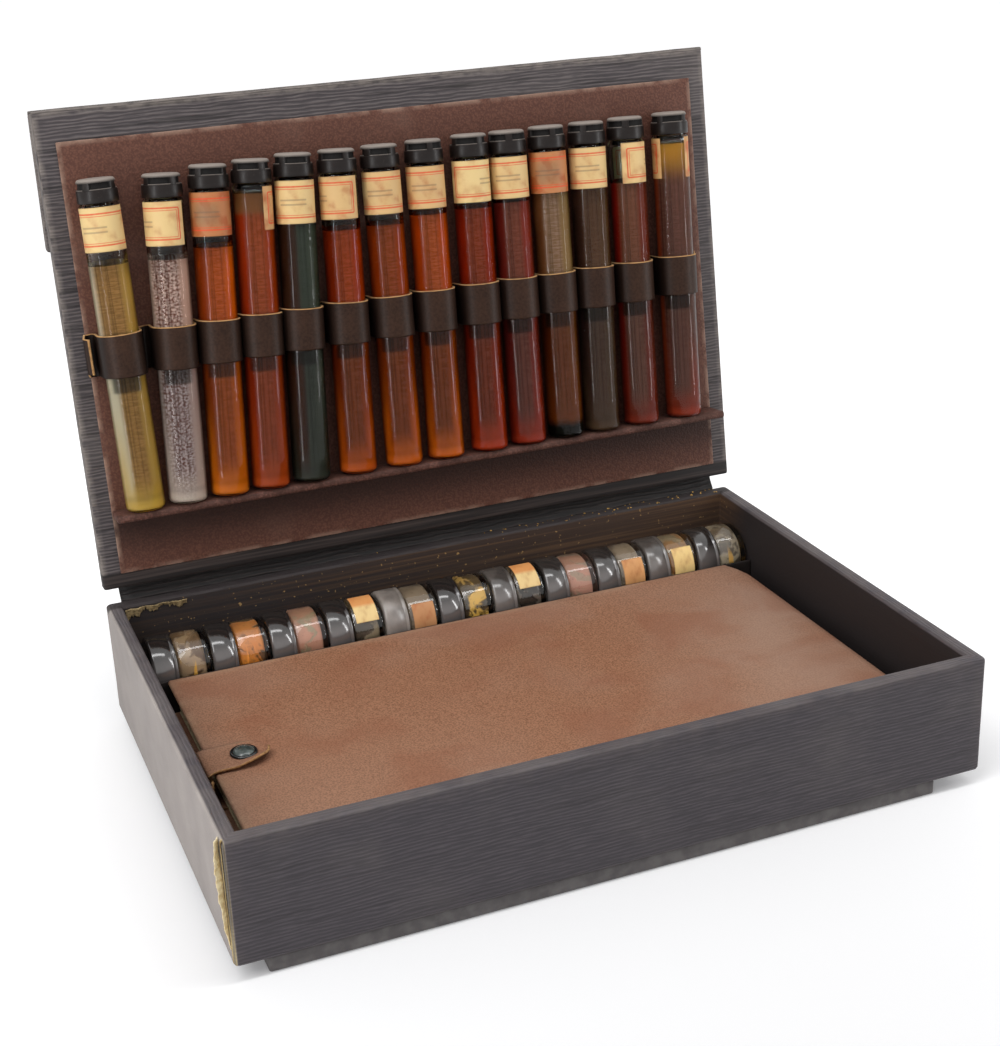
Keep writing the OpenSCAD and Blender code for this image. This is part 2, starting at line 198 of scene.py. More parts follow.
class Graph:
    """The nodes of one material, or of the world, round its shader."""

    def __init__(self, block: bpy.types.Material | bpy.types.World, shader: str = "Principled BSDF") -> None:
        """Takes up the nodes of a new material or world."""
        block.use_nodes = True
        self.tree = block.node_tree
        self.shader = self.tree.nodes[shader]

    def add(
        self,
        kind: str,
        settings: dict | None = None,
        inputs: dict | None = None,
        out: int | str = 0,
    ) -> Wire:
        """Adds a node.

        Args:
            kind: The node's type.
            settings: Its own properties, set first.
            inputs: Values or wires by socket name or number.
            out: Name or number of the output to return.

        Returns:
            The chosen output.
        """
        node = self.tree.nodes.new(kind)
        for key, value in (settings or {}).items():
            setattr(node, key, value)
        for key, value in (inputs or {}).items():
            self.feed(node.inputs[key], value)
        return Wire(self, node.outputs[out])

    def feed(self, socket: bpy.types.NodeSocket, value: "Wire | float | Sequence[float]") -> None:
        """Links a wire to a socket, or sets the socket's own value."""
        if isinstance(value, Wire):
            self.tree.links.new(value.socket, socket)
        elif isinstance(value, (tuple, list)) and len(socket.default_value) == 4 and len(value) == 3:
            socket.default_value = (*value, 1)
        else:
            socket.default_value = value

    def set(self, **values: "Wire | float | Sequence[float]") -> None:
        """Feeds the shader; a socket's name has _ for each space."""
        for key, value in values.items():
            self.feed(self.shader.inputs[key.replace("_", " ")], value)

    def place(self) -> Wire:
        """Gives the point in the case's own frame, in metres."""
        return self.add("ShaderNodeTexCoord", out="Object")

    def laid(self) -> Wire:
        """Gives the point on the laid-out covering, in metres."""
        return self.add("ShaderNodeTexCoord", out="UV")

    def split(self, vector: Wire) -> tuple[Wire, Wire, Wire]:
        """Splits a vector into its three values."""
        first = self.add("ShaderNodeSeparateXYZ", None, {0: vector})
        return tuple(Wire(self, s) for s in first.socket.node.outputs)

    def join(self, x: "Wire | float", y: "Wire | float", z: "Wire | float" = 0.0) -> Wire:
        """Joins three values into a vector."""
        return self.add("ShaderNodeCombineXYZ", None, {0: x, 1: y, 2: z})

    def stretch(self, vector: Wire, scale: Point) -> Wire:
        """Scales a vector along each axis."""
        return self.add("ShaderNodeVectorMath", {"operation": "MULTIPLY"}, {0: vector, 1: scale})

    def mottle(self, vector: Wire, scale: float, detail: float = 2.0, warp: float = 0.0) -> Wire:
        """Gives a soft noise from 0 to 1.

        Args:
            vector: Where it is read.
            scale: Blotches per unit.
            detail: Octaves of finer noise.
            warp: How much the noise is distorted.

        Returns:
            The noise.
        """
        inputs = {"Vector": vector, "Scale": scale, "Detail": detail, "Distortion": warp}
        return self.add("ShaderNodeTexNoise", None, inputs)

    def cells(self, vector: Wire, scale: float, cell: Cell = Cell.SHARP) -> Wire:
        """Gives the distance to the middle of a random cell."""
        inputs = {"Vector": vector, "Scale": scale}
        return self.add("ShaderNodeTexVoronoi", {"feature": cell.value}, inputs, "Distance")

    def mask(self, name: str) -> Wire:
        """Reads a value that the mesh holds at its points."""
        return self.add("ShaderNodeAttribute", {"attribute_name": name}, None, "Fac")

    def blend(
        self,
        amount: "Wire | float",
        under: "Wire | Colour",
        over: "Wire | Colour",
        laying: Laying = Laying.OVER,
    ) -> Wire:
        """Lays one colour over another.

        Args:
            amount: How much of the upper colour shows.
            under: The lower colour.
            over: The upper colour.
            laying: How the two are mixed.

        Returns:
            The mixed colour.
        """
        settings = {"data_type": "RGBA", "blend_type": laying.value}
        return self.add("ShaderNodeMix", settings, {0: amount, 6: under, 7: over}, 2)

    def emboss(self, height: Wire, depth: float, strength: float) -> Wire:
        """Turns a height from 0 to 1 into a bump.

        Args:
            height: The relief.
            depth: Its depth in metres.
            strength: How much of it shows.

        Returns:
            The bumped normal.
        """
        return self.add("ShaderNodeBump", None, {"Height": height, "Distance": depth, "Strength": strength})


class Recipe:
    """A finish that a material is made from."""

    def lay(self, g: Graph) -> None:
        """Lays the finish on a material's nodes."""
        raise NotImplementedError

    def make(self, name: str) -> bpy.types.Material:
        """Makes the finish's material.

        Args:
            name: The material's name.

        Returns:
            The material.
        """
        material = bpy.data.materials.new(name)
        self.lay(Graph(material))
        return material


@dataclass(frozen=True)
class Ribbed(Recipe):
    """Black leatherette with a straight, ribbed grain and rubbed edges."""

    groove: str = "403c40"
    ridge: str = "514b50"
    rub: str = "625957"
    wear: float = 0.4
    dust: float = 0.12
    crack: float = 0.3
    pitch: float = 0.0015
    depth: float = 0.0004
    sheen: float = 0.3

    def lay(self, g: Graph) -> None:
        """Lays the finish with the grain's own wear and no more."""
        self.cover(g, *self.layers(g))

    def cover(self, g: Graph, colour: Wire, relief: Wire, rough: Wire) -> None:
        """Feeds the covering to the shader.

        Args:
            g: The material's nodes.
            colour: The covering's colour.
            relief: Its relief from 0 to 1.
            rough: Its roughness.
        """
        g.set(Base_Color=colour, Roughness=rough, Specular_IOR_Level=self.sheen)
        g.set(Normal=g.emboss(relief, self.depth, 0.6))

    def layers(self, g: Graph) -> tuple[Wire, Wire, Wire]:
        """Lays the grain and its wear.

        Args:
            g: The material's nodes.

        Returns:
            The colour, the relief and the roughness.
        """
        laid = g.laid()
        _, across, _ = g.split(laid)
        drift = g.mottle(g.stretch(laid, (42, 170, 1)), 1.0, 3.0)
        fine = g.mottle(g.stretch(laid, (110, 1100, 1)), 1.0, 3.0)
        streak = g.mottle(g.stretch(laid, (18, 420, 1)), 1.0, 3.0)
        broad = g.mottle(laid, 22, 3.0)
        wave = (across * (2 * math.pi / self.pitch) + drift * 13).sine()
        crest = (wave * 0.5 + 0.5) * (0.25 + 0.75 * fine.step(0.25, 0.7))
        colour = g.blend(crest.step(0.05, 0.75), tone(self.groove), tone(self.ridge))
        colour = g.blend(streak.step(0.53, 0.70) * self.crack, colour, tone("1b1819"))
        dusty = (broad.step(0.45, 0.75) * self.dust + fine.step(0.55, 0.8) * 0.08).low(1)
        colour = g.blend(dusty, colour, tone("8d8580"))
        worn = (g.mask("edge") * self.wear * g.mottle(laid, 160, 4.0).step(0.3, 0.62)).low(1)
        colour = g.blend(worn, colour, tone(self.rub))
        return colour, crest * 0.8 + fine * 0.2, 0.48 + 0.22 * broad + 0.2 * worn


@dataclass(frozen=True)
class TrayRibbed(Ribbed):
    """The tray's covering: dusty at the left end, smooth inside, torn at the front left corner."""

    left: float = -0.15265
    right: float = 0.15265
    front: float = -0.10465
    back: float = 0.10465
    wall: Spot = (0.0045, 0.0060)

    def lay(self, g: Graph) -> None:
        """Lays the finish with the tray's own wear.

        Args:
            g: The material's nodes.
        """
        colour, relief, rough = self.layers(g)
        at = g.place()
        x, y, z = g.split(at)
        cloud = g.mottle(at, 45, 3.0)
        outer = (x - self.left).step(0.0016, 0.0006)
        top = z.step(0.0551, 0.0563)
        dusty = (outer * (0.5 + 0.45 * cloud) + top * 0.12 * cloud.step(0.3, 0.7)).low(1)
        colour = g.blend(dusty, colour, tone("a9a19c"))
        # Painted shade along the back wall's rim, under the hinge and the lid.
        colour = g.blend(y.step(0.0960, 0.0985) * z.step(0.0540, 0.0556) * 0.85, colour, tone("241e1e"))
        inner = (x - self.left).step(*self.wall) * (self.right - x).step(*self.wall)
        inner = inner * (y - self.front).step(*self.wall) * (self.back - y).step(*self.wall)
        inner = inner * z.step(0.0562, 0.0552)
        streak = g.mottle(g.stretch(at, (9, 9, 620)), 1.0, 3.0)
        grime = g.mottle(at, 520, 2.0)
        rear = y.step(0.070, 0.097)
        warm = rear * x.step(-0.10, 0.12)
        lining = g.blend(warm * 0.5, tone("252020"), tone("4b3524"))
        stripes = streak.step(0.42, 0.72) * (0.22 * rear + 0.28 * warm)
        lining = g.blend(stripes.low(1), lining, tone("735539"))
        lining = g.blend((grime.step(0.67, 0.72) * rear * 0.7).low(1), lining, tone("b08d58"))
        colour = g.blend(inner * 0.95, colour, lining)
        split = y - self.front
        wander = g.mottle(g.stretch(at, (1, 1, 170)), 1.0, 3.0)
        reach = z.step(0.006, 0.034)
        face = (x - self.left).step(0.0013, 0.0006)
        fibre = g.mottle(g.stretch(at, (600, 600, 140)), 1.0, 3.0)
        straw = g.blend(fibre.step(0.3, 0.7), tone("8d7446"), tone("dcc792"))
        fringe = (split - 0.0018 - 0.0026 * wander * reach).step(0.0003, -0.0003)
        slit = (split - 0.0012 - 0.0012 * wander * reach).step(0.0003, -0.0002)
        lip = split.step(0.0011, 0.0008) * (x - self.left).step(0.0010, 0.0005)
        colour = g.blend(face * fringe, colour, straw)
        colour = g.blend(face * slit * reach, colour, tone("23160e"))
        colour = g.blend(lip * 0.8, colour, tone("77726a"))
        self.cover(g, colour, relief * (1 - 0.9 * inner), (rough + 0.25 * dusty).low(0.95))


@dataclass(frozen=True)
class LidRibbed(Ribbed):
    """The lid's covering: a smooth black strip along its hinge end."""

    hinge_low: float = 0.0702
    hinge_high: float = 0.0712

    def lay(self, g: Graph) -> None:
        """Lays the finish with the lid's own strip.

        Args:
            g: The material's nodes.
        """
        colour, relief, rough = self.layers(g)
        at = g.place()
        _, y, z = g.split(at)
        strip = z.step(self.hinge_high, self.hinge_low) * y.step(0.116, 0.114)
        streak = g.mottle(g.stretch(at, (14, 300, 700)), 1.0, 3.0)
        black = g.blend(streak.step(0.4, 0.75) * 0.7, tone("191515"), tone("4a403d"))
        self.cover(g, g.blend(strip, colour, black), relief * (1 - strip), rough)


@dataclass(frozen=True)
class Pebble(Recipe):
    """Brown leatherette with a pebbled grain, and where asked a painted shadow under the ledge."""

    deep: str = "56382f"
    crown: str = "69463a"
    rub: str = "a98d7c"
    grain: float = 1250.0
    relief: float = 0.0004
    wear: float = 0.7
    # Strength of the painted shadow under the ledge.
    under: float = 0.0

    def lay(self, g: Graph) -> None:
        """Lays the finish.

        Args:
            g: The material's nodes.
        """
        at = g.place()
        cell = g.cells(at, self.grain, Cell.SOFT)
        soft = g.mottle(at, self.grain * 0.55, 2.5, 0.4)
        broad = g.mottle(at, 28, 3.0)
        height = (1 - cell) * 0.55 + soft * 0.45
        colour = g.blend(height.step(0.42, 0.72), tone(self.deep), tone(self.crown))
        colour = g.blend(broad.step(0.52, 0.8) * 0.2, colour, tone("846a5e"))
        if self.under:
            # Painted shadow on the lining below the ledge.
            _, _, z = g.split(at)
            shade = z.step(0.0700, 0.0915) * z.step(0.0985, 0.0955) * self.under
            colour = g.blend(shade, colour, tone("1d1311"))
        worn = (g.mask("edge") * self.wear * g.mottle(at, 130, 3.0).step(0.35, 0.6)).low(1)
        colour = g.blend(worn, colour, tone(self.rub))
        g.set(Base_Color=colour, Roughness=0.42 + 0.2 * broad + 0.2 * worn, Specular_IOR_Level=0.18)
        g.set(Normal=g.emboss(height, self.relief, 0.8))


@dataclass(frozen=True)
class Hide(Recipe):
    """Soft dull brown hide of the folder: fine grain, dust and pale scuffs."""

    deep: str = "775039"
    crown: str = "a27459"
    scuff: str = "bd9c80"

    def lay(self, g: Graph) -> None:
        """Lays the finish.

        Args:
            g: The material's nodes.
        """
        at = g.place()
        pore = g.mottle(at, 1500, 3.0)
        fine = g.cells(at, 1300)
        cloud = g.mottle(at, 14, 4.0, 0.3)
        streak = g.mottle(g.stretch(at, (30, 160, 160)), 1.0, 3.0)
        grain = pore * 0.6 + fine * 0.4
        colour = g.blend(grain.step(0.3, 0.65), tone(self.deep), tone(self.crown))
        x, y, _ = g.split(at)
        near_left = x.step(0.06, -0.14) * y.step(0.05, -0.09)
        dusty = (cloud.step(0.42, 0.75) * 0.35 + near_left * 0.32 + x.step(0.03, 0.13) * 0.3).low(1)
        colour = g.blend(dusty, colour, tone("a98e7d"))
        flush = g.mottle(at, 24, 5.0, 0.5)
        colour = g.blend(flush.step(0.46, 0.68) * 0.42, colour, tone("89563f"))
        scuffed = (g.mask("edge") * 0.55 * streak.step(0.4, 0.65)).low(1)
        colour = g.blend(scuffed, colour, tone(self.scuff))
        g.set(Base_Color=colour, Roughness=0.62 + 0.2 * cloud, Specular_IOR_Level=0.14)
        g.set(Normal=g.emboss(grain, 0.00012, 0.7))


@dataclass(frozen=True)
class Plain(Recipe):
    """A dull finish in two close tones, with fine grain."""

    low: str
    high: str
    scale: float = 400.0
    rough: float = 0.6
    relief: float = 0.0001
    coat: float = 0.0

    def lay(self, g: Graph) -> None:
        """Lays the finish.

        Args:
            g: The material's nodes.
        """
        at = g.place()
        grain = g.mottle(at, self.scale, 3.0)
        cloud = g.mottle(at, self.scale * 0.1, 3.0)
        colour = g.blend(grain.step(0.3, 0.7) * 0.6 + cloud * 0.4, tone(self.low), tone(self.high))
        g.set(Base_Color=colour, Roughness=self.rough - 0.1 + 0.2 * cloud)
        g.set(Coat_Weight=self.coat, Specular_IOR_Level=0.3)
        g.set(Normal=g.emboss(grain, self.relief, 0.6))


@dataclass(frozen=True)
class StrapHide(Recipe):
    """Dark glazed strap leather: painted shade at the sides of each loop and where it dips between the
    vials, and a raw tan upper edge.
    """

    deep: str = "1c110b"
    crown: str = "402b20"
    # Tone of the painted shade.
    shade_tone: str = "120c0b"
    raw: str = "b98d5c"

    def lay(self, g: Graph) -> None:
        """Lays the finish.

        Args:
            g: The material's nodes.
        """
        at = g.place()
        grain = g.mottle(at, 900, 3.0)
        cloud = g.mottle(at, 90, 3.0)
        colour = g.blend(grain.step(0.3, 0.7) * 0.35 + cloud * 0.65, tone(self.deep), tone(self.crown))
        # Painted shade: darkest at the loops' sides and in the dips between vials.
        colour = g.blend(g.mask("dip").step(0.1, 0.95) * 0.85, colour, tone(self.shade_tone))
        edge = g.mask("raw").step(0.15, 0.6) * (0.55 + 0.45 * g.mottle(at, 420, 3.0).step(0.35, 0.55))
        g.set(Base_Color=g.blend(edge, colour, tone(self.raw)))
        g.set(Roughness=0.42 + 0.3 * edge, Specular_IOR_Level=0.14)
        g.set(Normal=g.emboss(grain, 0.00012, 0.6))


@dataclass(frozen=True)
class Moulded(Recipe):
    """Black moulded plastic with dust that gathers on its top, painted shade in its grip pits and a painted
    highlight on the shelf below them; where asked, its lower front is paler, a painted reflection.
    """

    black: str = "191311"
    dust: str = "aa9f96"
    top_from: float = 0.0078
    top_to: float = 0.0094
    settled: float = 0.85
    film: float = 0.0
    rough: float = 0.3
    sheen: float = 0.24
    # Paler tone of the lower front: a painted reflection.
    front: str = ""

    def lay(self, g: Graph) -> None:
        """Lays the finish; the covering's second value runs up the cap.

        Args:
            g: The material's nodes.
        """
        at = g.place()
        _, up, _ = g.split(g.laid())
        speck = g.mottle(at, 900, 4.0)
        cloud = g.mottle(at, 150, 4.0)
        dusty = up.step(self.top_from, self.top_to) * self.settled * (0.7 + 0.3 * cloud)
        dusty = dusty + self.film * (0.6 + 0.4 * cloud.step(0.35, 0.65)) + speck.step(0.6, 0.78) * 0.06
        dusty = dusty.low(1)
        colour = tone(self.black)
        if self.front:
            # Painted reflection: the lower front turns paler.
            _, _, high = g.split(at)
            colour = g.blend(high.step(0.0430, 0.0375), colour, tone(self.front))
        colour = g.blend(dusty, colour, tone(self.dust))
        # Painted highlight along the shelf under each grip notch, in the dust's tone.
        colour = g.blend(g.mask("shelf") * 0.55, colour, tone(self.dust))
        # The pits are rougher, and darkened with painted shade.
        pit = g.mask("pit")
        rough = self.rough + 0.4 * dusty + 0.06 * cloud + 0.4 * pit
        g.set(Base_Color=g.blend(pit * 0.8, colour, tone("040303")), Roughness=rough)
        g.set(Specular_IOR_Level=self.sheen, Normal=g.emboss(speck, 0.00002, 0.4))


@dataclass(frozen=True)
class Oil(Recipe):
    """What a vial holds, seen through its round glass: its middle, its two sides and its foot, with light
    and shade painted in.
    """

    middle: str
    left: str
    right: str
    foot: str
    clear: float = 0.25
    mesh: float = 0.35
    sludge: float = 0.0
    rim_from: float = 0.46
    crown: str = ""
    pale: str = ""
    weave: Spot = (1.8, 1500.0)
    crown_at: Spot = (0.108, 0.126)
    upper: Colour = (1.5, 1.3, 1.0)
    narrow: float = 0.0

    def lay(self, g: Graph) -> None:
        """Lays the finish; the covering's second value runs up the vial.

        Args:
            g: The material's nodes.
        """
        _, up, _ = g.split(g.laid())
        side = g.mask("side")
        lining = g.mottle(g.join(side * self.weave[0], up * self.weave[1]), 1.0, 2.0)
        reed = g.mottle(g.join(side * 9, up * 6), 1.0, 2.0)
        low = up.step(0.017, 0.003)
        glow = abs(side).step(0.35, 0.85) * up.step(0.05, 0.006) * 0.75
        above = up.step(0.056, 0.074)
        pale = tone(self.pale) if self.pale else shaded(self.middle, 1.7, 0.015)
        dark = shaded(self.middle, 0.55)
        # Painted refraction of the lining behind, crossed by painted light and dark streaks.
        core = g.blend(lining.step(0.35, 0.68) * self.mesh * 2, tone(self.middle), pale)
        core = g.blend(reed.step(0.5, 0.62) * 0.65, core, dark)
        core = g.blend(reed.step(0.42, 0.34) * 0.5, core, pale)
        # The two sides take painted light and shade, across the vial as the camera sees it.
        edge = side + above * self.narrow
        colour = g.blend(edge.step(0.16 - self.rim_from, -0.16 - self.rim_from), core, tone(self.left))
        colour = g.blend(side.step(0.34, 0.66), colour, tone(self.right))
        # Painted glow low in the oil, where the glass gathers light at the foot.
        colour = g.blend((low * (0.6 + 0.4 * abs(side))).high(glow).low(1), colour, tone(self.foot))
        # Painted light: a gain per channel brightens the oil above the strap.
        colour = g.blend(above, colour, self.upper, Laying.TIMES)
        if self.crown:
            colour = g.blend(up.step(*self.crown_at), colour, tone(self.crown))
        # A painted dark ring and a painted highlight at the glass heel.
        heel = abs(up - 0.0060).step(0.0020, 0.0003)
        colour = g.blend(heel * 0.18, colour, dark)
        colour = g.blend(up.step(0.0062, 0.0012) * 0.5, colour, shaded(self.foot, 1.5, 0.01))
        # Painted shade at the column's edges.
        colour = g.blend(abs(side).step(0.88, 0.99) * 0.6, colour, dark)
        # Painted shadow just under the strap.
        shade = up.step(0.0505, 0.0521) * up.step(0.0592, 0.0575) * abs(side).step(0.85, 0.6)
        colour = g.blend(shade * (0.55 + 0.45 * reed), colour, tone("15130f"))
        if self.sludge:
            settled = (up + 0.004 * g.mottle(g.place(), 260, 3.0)).step(0.012, 0.007) * self.sludge
            colour = g.blend(settled, colour, tone("0d0b08"))
        g.set(Base_Color=colour, Roughness=0.3, Specular_IOR_Level=0.0)
        g.set(Transmission_Weight=self.clear, IOR=1.02)


@dataclass(frozen=True)
class Glass(Recipe):
    """Clear old glass."""

    tint: str = "e7f2f3"
    ior: float = 1.24
    glaze: float = 0.0

    def lay(self, g: Graph) -> None:
        """Lays the finish.

        Args:
            g: The material's nodes.
        """
        film = g.mottle(g.place(), 120, 4.0)
        g.set(Base_Color=g.blend(film.step(0.5, 0.8) * 0.12, tone(self.tint), tone("d9d2c6")))
        g.set(Roughness=0.02 + 0.05 * film.step(0.55, 0.8), Coat_Weight=self.glaze)
        g.set(Transmission_Weight=1.0, IOR=self.ior)


@dataclass(frozen=True)
class Label(Recipe):
    """Old cream label with a plain double frame and no words."""

    paper: str = "dfc388"
    stain: str = "a75726"
    line: str = "d2451c"
    soaked: float = 0.15
    ruled: float = 1.0
    tinge: float = 0.0
    inset: float = 0.0026
    chamfer: float = 0.0030
    half_height: float = 0.009

    def lay(self, g: Graph) -> None:
        """Lays the finish; the covering holds the distance from the label's edges.

        Args:
            g: The material's nodes.
        """
        across, up, _ = g.split(g.laid())
        off = up - self.half_height
        side = g.mask("half_width") - abs(across)
        rise = self.half_height - abs(off)
        corner = (side + rise - self.inset - self.chamfer) * 0.7071
        border = side.low(rise).low(corner + self.inset) - self.inset
        outer = abs(border).step(0.00042, 0.00026)
        inner = abs(border - 0.0010).step(0.00024, 0.00012)
        ink = (outer + inner * 0.8).low(1) * self.ruled
        fibre = g.mottle(g.laid(), 900, 3.0)
        blot = g.mottle(g.laid(), 130, 4.0)
        tide = (blot.step(0.42, 0.75) * 0.5 + self.soaked).low(1)
        colour = g.blend(tide, tone(self.paper), tone(self.stain))
        heart = abs(off).step(0.0075, 0.002) * abs(across).step(0.0085, 0.003)
        colour = g.blend(heart * self.soaked * self.soaked * 0.8, colour, tone("7d6a4c"))
        if self.tinge:
            colour = g.blend(across.step(0.0012, -0.0012) * self.tinge, colour, tone("d9823c"))
        upper, lower = (abs(off - gap).step(0.00045, 0.00028) for gap in (0.0009, -0.0010))
        rules = upper.high(lower) * abs(across).step(0.0062, 0.0056) * self.ruled
        colour = g.blend(rules * 0.45, colour, tone("6a5340"))
        colour = g.blend(ink * (0.65 + 0.35 * fibre), colour, tone(self.line))
        rim = side.low(rise).step(0.0006, 0.0)
        g.set(Base_Color=g.blend(rim * 0.35, colour, tone("a5733f")))
        g.set(Roughness=0.5 + 0.2 * fibre, Normal=g.emboss(fibre, 0.00004, 0.5))


@dataclass(frozen=True)
class Grease(Recipe):
    """What a jar holds: grease that clings to the glass in patches, and where asked painted amber glints low
    on the jar.
    """

    smear: str
    gap: str
    cover: float = 0.5
    gloss: float = 0.3
    # Tone of the painted amber glints.
    glow: str = ""

    def lay(self, g: Graph) -> None:
        """Lays the finish.

        Args:
            g: The material's nodes.
        """
        at = g.place()
        blot = g.mottle(at, 70, 3.0, 0.8)
        fine = g.mottle(at, 420, 4.0)
        cling = (blot + 0.15 * (fine - 0.5)).step(0.78 - 0.6 * self.cover, 0.84 - 0.6 * self.cover)
        colour = g.blend(cling, tone(self.gap), tone(self.smear))
        _, _, z = g.split(at)
        colour = g.blend(z.step(0.038, 0.046) * (0.35 + 0.45 * fine), colour, tone("6a583e"))
        colour = g.blend(fine.step(0.58, 0.78) * 0.4, colour, tone("1d1510"))
        # Painted glints: amber bars low on the jar.
        if self.glow:
            bars = g.mottle(g.stretch(at, (420, 60, 60)), 1.0, 2.0)
            colour = g.blend(bars.step(0.54, 0.6) * z.step(0.040, 0.033), colour, tone(self.glow))
        g.set(Base_Color=colour, Roughness=self.gloss + 0.25 * cling)
        g.set(Normal=g.emboss(cling + fine * 0.2, 0.0004, 0.6))


# Jar caps: the front tone is a painted reflection on their lower front.
JAR_CAP = Moulded("1e1a19", settled=0.0, film=0.02, rough=0.1, sheen=1.0, front="5c5756")
FINISHES: dict[Finish, Recipe] = {
    Finish.RIBBED: Ribbed(),
    Finish.RIBBED_LID: LidRibbed("3c3739", "5d5656", "8a817a", wear=0.8, dust=0.16, crack=0.75),
    Finish.TRAY: TrayRibbed(),
    Finish.FOLD: Ribbed("45403f", "726b67", "938a83", wear=0.6, dust=0.3),
    # Near black: painted shade for the hinge cloth's side that shows through the gap under the lid.
    Finish.HINGE: Ribbed("100d0d", "241e1d", "2e2725", wear=0.3, dust=0.05, crack=0.5, pitch=0.0021),
    Finish.INSIDE: Plain("100e0e", "2a2220", 300, 0.6),
    # Mid grey rather than black: dust, and painted light that the foot board catches from the floor.
    Finish.FOOT: Plain("504c4d", "706c6b", 220, 0.6),
    # The lining takes a painted shadow under the ledge.
    Finish.PEBBLE: Pebble(under=0.75),
    # The ledge's dark rub tone paints shade over its front face and edges.
    Finish.LEDGE: Pebble(deep="4f352e", crown="6c4b42", rub="3a2620", wear=0.75),
    Finish.STRAP: StrapHide(),
    Finish.RAW: Plain("a47a4c", "dcb684", 1200, 0.8),
    Finish.CUT: Plain("7a5636", "cfa06a", 900, 0.75),
    Finish.HIDE: Hide(),
    Finish.LEAVES: Plain("b9a67f", "e0d2b0", 500, 0.75),
    Finish.SNAP: Plain("0d0e0f", "1d2021", 300, 0.25, 0.00003, 0.4),
    Finish.DOME: Plain("252c2a", "606b68", 330, 0.28, 0.00006, 0.4),
    Finish.CAP: Moulded(),
    Finish.JAR_CAP: JAR_CAP,
    Finish.GLASS: Glass(),
    Finish.JAR_GLASS: Glass("f8f6f0", 1.15, 1.0),
    # Straw fibres, paler than their own tone: painted light where the key light from the left falls on the
    # fringe.
    Finish.STRAW: Plain("cfb47c", "fff2cc", 700, 0.85, 0.0003),
    Finish.FRAYED: Plain("5f5138", "bda67a", 800, 0.85, 0.0003),
    Finish.CRUMB: Plain("8f6326", "e0b562", 600, 0.5, 0.0002),
}


@dataclass
class Paint:
    """Keeps each finish's material, so that it is built once."""

    made: dict[str, bpy.types.Material] = field(default_factory=dict)

    def of(self, finish: Finish) -> bpy.types.Material:
        """Gives a named finish's material."""
        return self.custom(finish.value, FINISHES[finish])

    def custom(self, name: str, recipe: Recipe) -> bpy.types.Material:
        """Gives the material of a finish that only one piece has.

        Args:
            name: The material's name.
            recipe: The finish.

        Returns:
            The material.
        """
        if name not in self.made:
            self.made[name] = recipe.make(name)
        return self.made[name]


PAINT = Paint()


